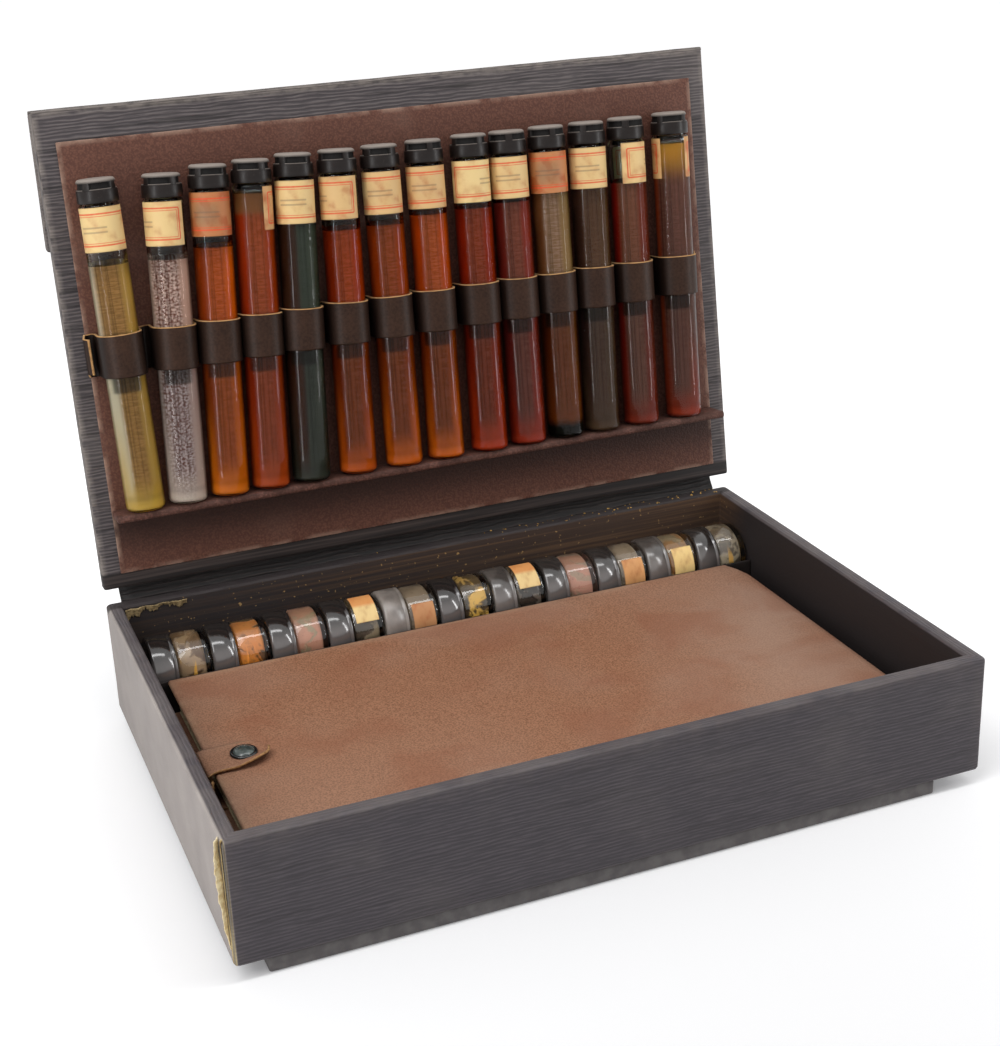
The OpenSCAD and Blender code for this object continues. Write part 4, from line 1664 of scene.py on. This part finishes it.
        def round_vial(i: int, across: float, out: float, ragged: float, dip: float = 1.0) -> None:
            """Adds one row at a place round one vial."""
            rank(lambda up: self.strap_point(i, across, out, up), ragged, dip)

        last = len(SAMPLES) - 1
        curl = [(-3.0, 5.6), (-4.0, 5.0), (-4.7, 3.8), (-4.9, 2.2), (-4.3, 0.8), (-3.1, 0.1), (-1.9, 0.0)]
        curl += [(-0.9, 0.1), (0.0, 1.0)]
        for k, (x, n) in enumerate(curl):
            tuck = 0.84 if k < 4 else 1
            at = (x * MM - loop, floor + n * MM)
            rank(lambda up: self.strap_point(0, *at, up * tuck), -3 + k * 0.3, 0.5 if k < 3 else 1.0)
        for i in range(last + 1):
            for k in range(4):
                round_vial(i, -loop, rise + (crown - floor - self.strap_dip) * k / 4, i + k * 0.05)
            for k in range(17):
                a = math.pi * (1 - k / 16)
                # Painted shade: none on the loop's crown, most at its sides.
                shade = abs(math.cos(a)) ** 2.5
                round_vial(i, loop * math.cos(a), crown + loop * math.sin(a), i + 0.2 + k * 0.03, shade)
            for k in range(1, 5):
                round_vial(i, loop, crown + (rise - crown) * k / 4, i + 0.7 + k * 0.02)
            for t in (k / 8 for k in range(1, 8) if i < last):
                out = floor + self.strap_dip * (1 - math.sin(math.pi * t))

                def between(up: float) -> Vector:
                    """Gives a point on the lining between this vial and the next."""
                    here = self.strap_point(i, loop, out, up)
                    return here.lerp(self.strap_point(i + 1, -loop, out, up), t)

                rank(between, i + 0.8 + t * 0.2)
        for k, (x, n) in enumerate([(0.2, 0.5), (0.8, 0.05), (2.4, 0.0), (3.6, 0.5), (4.4, 1.4)]):
            round_vial(last, loop + x * MM, floor + n * MM, last + 1 + k * 0.3)
        run = along((b[3] - a[3]).length for a, b in pairwise(trail))
        shape = Shape().grid(
            trail,
            lambda r, c: (run[r], widths[c] * self.strap_w / 2),
            dip=lambda r, c: dips[r],
            raw=lambda r, c: float(c == 6 or r == 0),
        )
        finishes = [Finish.STRAP, Finish.RAW]
        strap = shape.move(STAND.lid()).piece("strap_loops", "lid", finishes, "strap_brown", ["vial_strap"])
        thicken(strap, self.strap_t, 1)


@dataclass
class Pot:
    """One jar's grease and its label, if it has one: its turn and its reach to each side in degrees."""

    grease: Grease
    label: Label | None = None
    turn: float = 0.0
    dusty: float = 0.0
    reach: float = 34.0


BARE = {"ruled": 0.0, "tinge": 0.75}
POTS = (
    Pot(Grease("5c4028", "9a8166", 0.5, 0.15, "e0a848")),
    Pot(Grease("cc7a2c", "5a4230", 0.52, 0.15, "f09a3c")),
    Pot(Grease("b27e68", "948369", 0.62, 0.3)),
    Pot(Grease("7d6f58", "453c33", 0.45, 0.2), Label("f2d696", soaked=0.1, **BARE), 24, 0.03),
    Pot(Grease("7d6e5e", "675a4d", 0.6, 0.5), Label("cc9a6a", soaked=0.3, ruled=0.0), 68, 0.6, 25),
    Pot(Grease("cfa448", "3f3426", 0.5, 0.15)),
    Pot(Grease("5c5147", "302a26", 0.5, 0.2), Label("efd394", soaked=0.1, **BARE), 22, 0.2),
    Pot(Grease("b58270", "9a826e", 0.6, 0.45), dusty=0.06),
    Pot(Grease("887a6a", "7a5236", 0.6, 0.4), Label("eab274", soaked=0.3, ruled=0.0), 67, 0.05, 27),
    Pot(Grease("86785f", "9a6c3a", 0.5, 0.4), Label("ffe096", soaked=0.15, ruled=0.0), 64, 0.22, 27),
    Pot(Grease("9c907c", "574d42", 0.45, 0.35, "d4a450"), dusty=0.05),
)


@dataclass
class Jars:
    """The jars in the trough: caps, glass, grease and labels."""

    radius: float = 14.2 * MM
    length: float = 25.6 * MM
    cap_len: float = 10.8 * MM
    step: float = 0.5 * MM
    turns: int = 72
    slot: str = "jar_glass"

    def build(self) -> None:
        """Makes every jar."""
        for i, pot in enumerate(POTS):
            low, high = boxed(f"jar_{i + 1}")
            mid = (low + high) / 2
            turn = Matrix.Translation((low.x, mid.y, mid.z)) @ Matrix.Rotation(math.pi / 2, 4, "Y")
            self.cap(i + 1, pot, turn)
            self.glass(i + 1, pot, turn)
            if pot.label:
                self.label(i + 1, pot, turn)

    def cap(self, n: int, pot: Pot, turn: Matrix) -> None:
        """Makes a jar's cap.

        Args:
            n: The jar's number.
            pot: What it holds and wears.
            turn: Its frame, with Z from its cap to its foot.
        """
        r, c = self.radius, self.cap_len
        outline = [(0.0, 0.25 * MM), (r - 3.4 * MM, 0.25 * MM), (r - 2.8 * MM, 0.0)]
        outline += [(r - 1.4 * MM, 0.05 * MM), *arc((r - 1.3 * MM, 1.35 * MM), 1.3 * MM, -80, 0, 5)]
        groove = r - 0.35 * MM
        outline += [(r, 3 * MM), (r, c - 2.0 * MM), (groove, c - 1.8 * MM), (groove, c - 1.5 * MM)]
        outline += [(r, c - 1.3 * MM), (r, c - 0.2 * MM), (r - 0.3 * MM, c), (r - 1.6 * MM, c)]
        finish = PAINT.of(Finish.JAR_CAP)
        if pot.dusty:
            finish = PAINT.custom(f"jar_cap_{n}", replace(JAR_CAP, film=pot.dusty, rough=0.12))
        shape = lathe(outline, self.turns).move(turn)
        shape.piece(f"jar_lid_{n}", f"jar_body_{n}", [finish], self.slot, [f"jar_{n}"])

    def glass(self, n: int, pot: Pot, turn: Matrix) -> None:
        """Makes a jar's glass and its grease.

        Args:
            n: The jar's number.
            pot: What it holds and wears.
            turn: Its frame, with Z from its cap to its foot.
        """
        c, g, end = self.cap_len, self.radius - self.step, self.length
        glass = [(0.0, c + 0.2 * MM), (g - 1.8 * MM, c + 0.2 * MM), (g - 0.6 * MM, c + 0.5 * MM)]
        glass += [(g, c + 1.2 * MM), (g, (c + end) / 2), (g, end - 2.2 * MM)]
        glass += arc((g - 2 * MM, end - 2 * MM), 2 * MM, 0, 90, 6)
        glass += [(g - 4 * MM, end - 0.3 * MM), (0.0, end - 0.5 * MM)]
        shape = lathe(glass, self.turns).move(turn)
        shape.piece(f"jar_glass_{n}", f"jar_body_{n}", [Finish.JAR_GLASS], self.slot)
        k = g - 1.6 * MM
        fill = [(0.0, c + 1.0 * MM), (k - 1 * MM, c + 1.0 * MM), (k, c + 2.0 * MM), (k, end - 4 * MM)]
        fill += [*arc((k - 1.5 * MM, end - 3.8 * MM), 1.5 * MM, 0, 90, 4), (0.0, end - 2.3 * MM)]
        grease = PAINT.custom(f"grease_{n}", pot.grease)
        lathe(fill, self.turns).move(turn).piece(f"jar_grease_{n}", f"jar_body_{n}", [grease], self.slot)

    def label(self, n: int, pot: Pot, turn: Matrix) -> None:
        """Makes a jar's label, on the side that faces up.

        Args:
            n: The jar's number.
            pot: Where its label lies.
            turn: Its frame, with Z from its cap to its foot.
        """
        r = self.radius - self.step + 0.08 * MM
        first, last = math.radians(pot.turn - pot.reach), math.radians(pot.turn + pot.reach)
        low, tall = self.cap_len + 2.2 * MM, 10.4 * MM
        wide, steps, ranks = (last - first) * r, 24, 4
        angles = [first + (last - first) * c / steps for c in range(steps + 1)]
        heights = [low + tall * t / ranks for t in range(ranks + 1)]
        shape = Shape().grid(
            [[Vector((-r * math.cos(a), -r * math.sin(a), z)) for a in angles] for z in heights],
            lambda t, c: (wide * (c / steps - 0.5), 18 * MM * t / ranks),
            half_width=lambda t, c: wide / 2,
        )
        finish = PAINT.custom(f"jar_label_{n}", pot.label)
        shape.move(turn).piece(f"jar_label_{n}", f"jar_body_{n}", [finish], self.slot)


@dataclass
class Folder:
    """The folder: jacket, leaves, snap strap and snap."""

    board: float = 2.2 * MM
    turned: float = 14 * MM
    hem: float = 0.9 * MM
    drop: float = 1.4 * MM
    lip: float = 0.25 * MM
    lip_drop: float = 0.5 * MM
    soft: float = 4 * MM
    tuck: float = 4.5 * MM
    rubbed: float = 3.5 * MM
    strap_thick: float = 0.9 * MM
    sheets: int = 26
    seed: int = 7

    def build(self) -> None:
        """Makes the folder's pieces in order."""
        self.jacket()
        self.back()
        self.leaves()
        self.tongue()
        self.snap()

    def jacket(self) -> None:
        """Makes the cover and the soft spine as one hide-covered sheet."""
        low, high = boxed("folder_cover")
        spine_low, spine_high = boxed("folder_spine")
        radius = (spine_high.z - spine_low.z) / 2
        mid = Vector((high.x, 0, spine_low.z + radius))
        near = [(low.x, high.z - self.drop), (low.x + self.lip, high.z - self.lip_drop)]
        near += [(low.x + self.hem, high.z)]
        over = [(low.x + (high.x - low.x) * i / 54, high.z) for i in range(1, 55)]
        bend = radius - 0.02 * MM
        angles = [math.pi * k / 14 for k in range(1, 14)]
        around = [(mid.x + bend * math.sin(a), mid.z + bend * math.cos(a)) for a in angles]
        path = near + over + around + [(mid.x, spine_low.z + 0.15 * MM)]
        run = along(math.dist(a, b) for a, b in pairwise(path))
        deep = high.y - low.y
        sides = [0.0, self.lip, self.hem]
        sides += [self.hem + (deep - 2 * self.hem) * i / 32 for i in range(1, 32)]
        sides += [deep - self.hem, deep - self.lip, deep]
        rows = []
        for x, z in path:
            row = []
            for s in sides:
                y, edge = low.y + s, min(s, deep - s)
                drop = self.drop if edge == 0 else (self.lip_drop if edge < self.hem / 2 else 0.0)
                px, pz = x, z
                if x <= high.x and z >= mid.z:
                    wave = 0.35 * MM * noise.noise(Vector((x * 26, y * 26, 1.0)))
                    wave += 0.12 * MM * noise.noise(Vector((x * 90, y * 90, 4.0)))
                    soft = min(1.0, edge / self.soft) * min(1.0, abs(x - low.x) / self.soft)
                    pz = z - drop + min(0.0, wave - 0.2 * MM) * soft
                else:
                    pull = 1 - drop / radius
                    px, pz = mid.x + (x - mid.x) * pull, mid.z + (z - mid.z) * pull
                bent = px - (mid.x - self.soft)
                if bent > 0 and deep - s < self.turned:
                    tuck = (1 - (deep - s) / self.turned) ** 2 * self.tuck
                    px -= tuck * max(0.0, min(1.0, bent / (2 * self.soft)))
                row.append(Vector((px, y, pz)))
            rows.append(row)

        def rub(r: int, c: int) -> float:
            """Gives how much a point is rubbed, near the cover's free edges."""
            return max(0.0, 1 - min(sides[c], deep - sides[c], run[r]) / self.rubbed)

        shape = Shape().grid(rows, lambda r, c: (run[r], sides[c]), edge=rub).flip()
        under_low = Vector((low.x + 0.1 * MM, low.y + 0.1 * MM, low.z))
        under_high = Vector((high.x, high.y - 0.1 * MM, high.z - 1.2 * MM))
        shape.add(board(under_low, under_high, 0.3 * MM, 20 * MM))
        nodes = ["folder_cover", "folder_spine"]
        jacket = shape.piece("folder_jacket", "cover", [Finish.HIDE], "folder_brown", nodes, ride=False)
        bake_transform(jacket)

    def back(self) -> None:
        """Makes the back board and the strap's sewn tail."""
        low, high = boxed("folder_back")
        left = low.x + 1.0 * MM
        top = Vector((high.x, high.y, low.z + self.board))
        shape = board(Vector((left, low.y, low.z)), top, 0.7 * MM, 14 * MM)
        shape.piece("folder_back_board", "folder", [Finish.HIDE], "folder_brown", ["folder_back"])
        strap_low, strap_high = boxed("snap_strap")
        spots = [(left + 4 * MM, top.z + 0.5 * MM), (left - 0.2 * MM, low.z + 2.9 * MM)]
        spots += [(left - 0.9 * MM, low.z + 4.5 * MM), (left - 1.4 * MM, low.z + 8 * MM)]
        spots += [(left - 1.7 * MM, low.z + 12 * MM), (left - 1.5 * MM, high.z - 0.3 * MM)]
        wide = strap_high.y - strap_low.y
        rows = [[Vector((x, strap_low.y + wide * c / 10, z)) for c in range(11)] for x, z in spots]
        tail = Shape().grid(
            rows,
            lambda r, c: (r * 3 * MM, c * 2 * MM),
            edge=lambda r, c: float(c in (0, 10)),
        )
        piece = tail.piece("strap_tail", "folder", [Finish.HIDE, Finish.CUT], "folder_brown")
        thicken(piece, self.strap_thick, 1)

    def leaves(self) -> None:
        """Makes the block of leaves, with uneven edges."""
        low, high = boxed("folder_leaves")
        shape = Shape()
        dice = random.Random(self.seed)
        for k in range(self.sheets):
            z0 = low.z + (high.z - low.z) * k / self.sheets
            z1 = low.z + (high.z - low.z) * (k + 0.86) / self.sheets
            inset = [dice.uniform(0, 1.2) * MM for _ in range(4)]
            x0, x1, y0, y1 = low.x + inset[0], high.x - inset[1], low.y + inset[2], high.y - inset[3]
            ring = [(x0, y0), (x1, y0), (x1, y1), (x0, y1)]
            rows = [[Vector((x, y, z)) for x, y in ring] for z in (z0, z1)]
            shape.grid(rows, lambda r, c: (c * 0.1, r * 0.0005), True)
            for row, order in zip(rows, ((3, 2, 1, 0), (0, 1, 2, 3))):
                base = len(shape.points)
                shape.points += row
                shape.faces.append(tuple(base + o for o in order))
                shape.laid.append(tuple(ring[o] for o in order))
                shape.tints.append(0)
        leaves = [Finish.LEAVES]
        shape.piece("folder_leaf_block", "folder", leaves, "leaves", ["folder_leaves"], smooth=False)

    def tongue(self) -> None:
        """Makes the snap strap, its tip round and one corner lifted."""
        low, high = boxed("snap_strap")
        half = (high.y - low.y) / 2
        mid = (high.y + low.y) / 2
        reach = high.x - low.x
        steps, ranks = 26, 12
        xs = [reach * i / steps for i in range(steps + 1)]
        rows = []
        for x in xs:
            past = x - (reach - half)
            wide = half if past <= 0 else math.sqrt(max(0.0, half * half - past * past))
            wide = max(wide, 0.4 * MM)
            hump = max(0.0, 1 - abs(x / reach - 0.8) / 0.42)
            rise = 0.9 * min(1.0, x / (5 * MM)) + 2.6 * hump * hump * (3 - 2 * hump)
            droop = 0.9 * MM * max(0.0, 1 - x / (3.5 * MM)) ** 2
            row = []
            for s in (-1 + c / 6 for c in range(ranks + 1)):
                lift = rise * MM * max(0.0, -s - 0.1) ** 1.5
                row.append(Vector((low.x + x, mid + wide * s, low.z + 0.5 * MM + lift - droop)))
            rows.append(row)

        def cut(r: int, c: int) -> float:
            """Gives 1 on the strap's cut edge."""
            return float(c in (0, ranks) or r == steps)

        shape = Shape().grid(rows, lambda r, c: (xs[r], c * 1.6 * MM), edge=cut).flip()
        finishes = [Finish.HIDE, Finish.CUT]
        piece = shape.piece("snap_tongue", "tongue", finishes, "folder_brown", ["snap_strap"])
        thicken(piece, self.strap_thick, 1)

    def snap(self) -> None:
        """Makes the snap's cap and its stud."""
        low, high = boxed("snap_cap")
        mid = (low + high) / 2
        r, h = (high.x - low.x) / 2, high.z - low.z
        seam = (r - 1.3 * MM, 1.15 * MM)
        outline = [(r - 0.8 * MM, 0.0), (r - 0.2 * MM, 0.1 * MM), (r, 0.5 * MM), (r - 0.1 * MM, 0.9 * MM)]
        outline += [(r - 0.5 * MM, 1.25 * MM), (r - 1.0 * MM, 1.3 * MM), seam]
        dome = [seam, (r - 1.6 * MM, 1.4 * MM), (r * 0.62, 1.9 * MM), (r * 0.38, h - 0.25 * MM)]
        dome += [(r * 0.15, h - 0.05 * MM), (0.0, h)]
        shape = lathe(dome, 64, 1, lathe(outline, 64)).move(Matrix.Translation((mid.x, mid.y, low.z)))
        shape.piece("snap_button", "tongue", [Finish.SNAP, Finish.DOME], "snap_metal", ["snap_cap"])
        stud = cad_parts["snap_stud"].data.materials
        stud.clear()
        stud.append(PAINT.of(Finish.SNAP))


@dataclass
class Frays:
    """Torn covering: board fibres at the front left corner and under the back rim, and crumbs."""

    seed: int = 11
    crumbs: int = 90
    steps: int = 60
    ragged: float = 0.5
    thick: float = 0.3 * MM

    def build(self) -> None:
        """Makes the torn strips and the crumbs."""
        low, high = boxed("front_wall")[0], boxed("back_wall")[1]
        wall = boxed("front_wall")[1].y - low.y
        n = self.steps
        foot, tall = 13 * MM, 43.6 * MM
        left, front = low.x - 0.05 * MM, low.y + 1.9 * MM
        spots = [Vector((left, front, foot + tall * t / n)) for t in range(n + 1)]
        shares = [k / n for k in range(n + 1)]
        curl = [min(1.0, t * 4) * (1.9 + 1.2 * max(0.0, 1 - abs(t - 0.66) / 0.3)) for t in shares]
        self.strip("torn_corner", spots, (Y, -X), lambda t: 1.0 + 2.2 * t, curl)
        start, long = low.x + wall + 0.6 * MM, 27 * MM
        back, top = high.y - wall - 0.1 * MM, high.z - 1.2 * MM
        spots = [Vector((start + long * t / n, back, top)) for t in range(n + 1)]
        self.strip("torn_rim", spots, (-Z, -Y), lambda t: 2.2 + 4.2 * (1 - t) ** 3, [0.9] * (n + 1), 1.0)
        self.scatter(low, high, wall)

    def strip(
        self,
        name: str,
        spots: list[Vector],
        ways: tuple[Vector, Vector],
        width: Callable[[float], float],
        lift: Sequence[float],
        rough: float = 0.35,
    ) -> None:
        """Makes a ragged strip of torn fibres.

        Args:
            name: The piece's name.
            spots: The line that it starts from.
            ways: The way that it spreads, and the way that it stands off.
            width: Its width in millimetres at 0 to 1 along the line.
            lift: How far it stands off at each point of the line, in millimetres.
            rough: How ragged its edge is.
        """
        across, out = ways
        rows = []
        for k, spot in enumerate(spots):
            t = k / (len(spots) - 1)
            broad, fine = noise.noise(Vector((t * 9, 1.7, 0.3))), noise.noise(Vector((t * 41, 4.1, 2.2)))
            jag = 0.85 + rough * (0.9 * broad + 0.5 * fine)
            wide = width(t) * max(0.15, jag) * MM
            row = []
            for c in range(7):
                tuft = rough * 0.5 * noise.noise(Vector((t * 14, c * 0.5, 6.0)))
                puff = lift[k] * max(0.2, 0.5 + 0.5 * jag + tuft) * (1 - c / 6) ** 1.4
                row.append(spot + across * (wide * c / 6 + 0.4 * MM * jag) + out * (puff * MM))
            rows.append(row)
        shape = Shape().grid(rows, lambda r, c: (r * 0.0007, c * 0.0005))
        finish = Finish.STRAW if rough < self.ragged else Finish.FRAYED
        thicken(shape.piece(name, "tray", [finish], "leatherette"), self.thick)

    def scatter(self, low: Vector, high: Vector, wall: float) -> None:
        """Strews crumbs along the back rim and in the right end of the tray.

        Args:
            low: The tray's lowest corner.
            high: Its highest corner.
            wall: Its walls' thickness.
        """
        dice = random.Random(self.seed)
        shape = Shape()
        floor = boxed("bottom_board")[1].z + 0.2 * MM
        fifth = 1.2566
        for k in range(self.crumbs):
            if k % 3:
                x = max(high.x - 8 * MM - abs(dice.gauss(0, 62)) * MM, low.x + 20 * MM)
                y = high.y - dice.uniform(0.6, wall / MM - 0.6) * MM
                spot = Vector((x, y, high.z - 0.05 * MM))
            else:
                x = high.x - wall - dice.uniform(0.3, 3.5) * MM
                spot = Vector((x, dice.uniform(-60, 60) * MM, floor))
            size = dice.uniform(0.15, 0.5) * MM * (1 if k % 3 else 2)
            ring = [dice.uniform(0.6, 1.4) * size for _ in range(5)]
            rows = []
            for f, z in ((0.2, -0.3), (1.0, 0.0), (0.7, 0.45), (0.1, 0.6)):
                row = []
                for c, reach in enumerate(ring):
                    x, y = reach * f * math.cos(fifth * c), reach * f * math.sin(fifth * c)
                    row.append(spot + Vector((x, y, z * size)))
                rows.append(row)
            shape.grid(rows, lambda r, c: (c * 0.001, r * 0.001), True)
        shape.piece("crumbs", "tray", [Finish.CRUMB], "leatherette", smooth=False)


@dataclass
class Studio:
    """The pale floor, the soft light and the camera."""

    eye: Point = (-0.24325, -0.60386, 0.37253)
    ahead: Point = (0.33573, 0.86329, -0.37686)
    roll: float = -2.356
    focal: float = 1752.1
    frame_size: Spot = (1000.0, 1046.0)
    centre: Spot = (498.76, 515.88)
    sensor: float = 36.0
    floor_half: float = 6.0
    sky: float = 0.42

    def build(self) -> None:
        """Sets up the floor, the light and the camera."""
        self.camera()
        self.floor()
        self.light()

    def camera(self) -> None:
        """Sets the camera where the photograph was taken from."""
        wide, tall = self.frame_size
        lens = bpy.data.cameras.new("camera")
        lens.sensor_width = self.sensor
        lens.lens = self.focal * self.sensor / tall
        lens.shift_x = (wide / 2 - self.centre[0]) / tall
        lens.shift_y = (self.centre[1] - tall / 2) / tall
        lens.clip_start = 0.01
        eye = bpy.data.objects.new("camera", lens)
        turn = Vector(self.ahead).to_track_quat("-Z", "Y").to_matrix().to_4x4()
        roll = Matrix.Rotation(math.radians(self.roll), 4, "Z")
        eye.matrix_world = Matrix.Translation(self.eye) @ turn @ roll
        bpy.context.scene.collection.objects.link(eye)
        bpy.context.scene.camera = eye

    def seen(self, g: Graph) -> Wire:
        """Gives 1 to a ray that should see plain white: the camera's own, a gloss, or one through glass."""
        rays = ("Is Camera Ray", "Is Glossy Ray", "Is Transmission Ray")
        camera, gloss, glass = (g.add("ShaderNodeLightPath", out=ray) for ray in rays)
        return camera.high(gloss).high(glass)

    def floor(self) -> None:
        """Lays the pale floor, which keeps the case's shadow."""
        mesh = bpy.data.meshes.new("floor")
        half = self.floor_half
        corners = [(-half, -half, 0), (half, -half, 0), (half, half, 0), (-half, half, 0)]
        mesh.from_pydata(corners, [], [(0, 1, 2, 3)])
        sheet = bpy.data.objects.new("floor", mesh)
        bpy.context.scene.collection.objects.link(sheet)
        material = bpy.data.materials.new("studio_floor")
        g = Graph(material)
        soft = g.mottle(g.place(), 2.0, 2.0)
        g.set(Base_Color=g.blend(soft, (0.80, 0.80, 0.81), (0.84, 0.84, 0.84)))
        g.set(Roughness=0.7, Specular_IOR_Level=0.2)
        x, y, _ = g.split(g.place())
        # Painted light: the floor glows for camera, gloss and glass rays, little near the case, where its
        # shadow shows, and more far off, where it turns white.
        left, front = x + 0.05, y + 0.15
        far = (left * left + front * front).step(0.005, 0.2)
        lift = g.blend(far, (0.12, 0.12, 0.125), (0.62, 0.62, 0.62))
        g.set(Emission_Color=g.blend(self.seen(g), (0.0, 0.0, 0.0), lift), Emission_Strength=1.0)
        mesh.materials.append(material)

    def light(self) -> None:
        """Lights the case softly from above and from the left."""
        world = bpy.data.worlds.new("studio")
        bpy.context.scene.world = world
        g = Graph(world, "Background")
        inputs = {"Value": self.seen(g), "To Min": self.sky, "To Max": 1.0}
        g.set(Color=(1.0, 1.0, 1.0), Strength=g.add("ShaderNodeMapRange", None, inputs))
        self.lamp("key", (-0.9, -0.5, 1.3), (0, 0, 0.08), (0.9, 0.9), 8.5)
        self.lamp("top", (0.05, -0.26, 1.1), (0.05, 0.05, 0.05), (1.4, 0.15), 4.4)
        for name, place in (("strip_left", (-0.46, -0.13, 0.22)), ("strip_right", (0.45, -0.14, 0.22))):
            self.lamp(name, place, (0, 0.12, 0.22), (0.045, 0.34), 0.6)

    def lamp(self, name: str, place: Point, aim: Point, size: Spot, power: float) -> None:
        """Adds one soft panel of light.

        Args:
            name: The panel's name.
            place: Where it stands.
            aim: What it faces.
            size: Its width and its height.
            power: Its power in watts.
        """
        panel = bpy.data.lights.new(name, "AREA")
        panel.shape = "RECTANGLE"
        panel.size, panel.size_y = size
        panel.energy = power
        holder = bpy.data.objects.new(name, panel)
        way = Vector(aim) - Vector(place)
        holder.matrix_world = Matrix.Translation(place) @ way.to_track_quat("-Z", "Y").to_matrix().to_4x4()
        holder.visible_camera = False
        bpy.context.scene.collection.objects.link(holder)


def main() -> None:
    """Builds the case piece by piece."""
    logging.basicConfig(level=logging.INFO, format="%(name)s: %(message)s")
    bpy.context.scene.view_settings.view_transform = "Standard"
    for part in (Studio(), Tray(), Frays(), Lid(), Vials(), Jars(), Folder()):
        LOG.info("building %s", type(part).__name__)
        part.build()


if __name__ == "__main__":
    main()
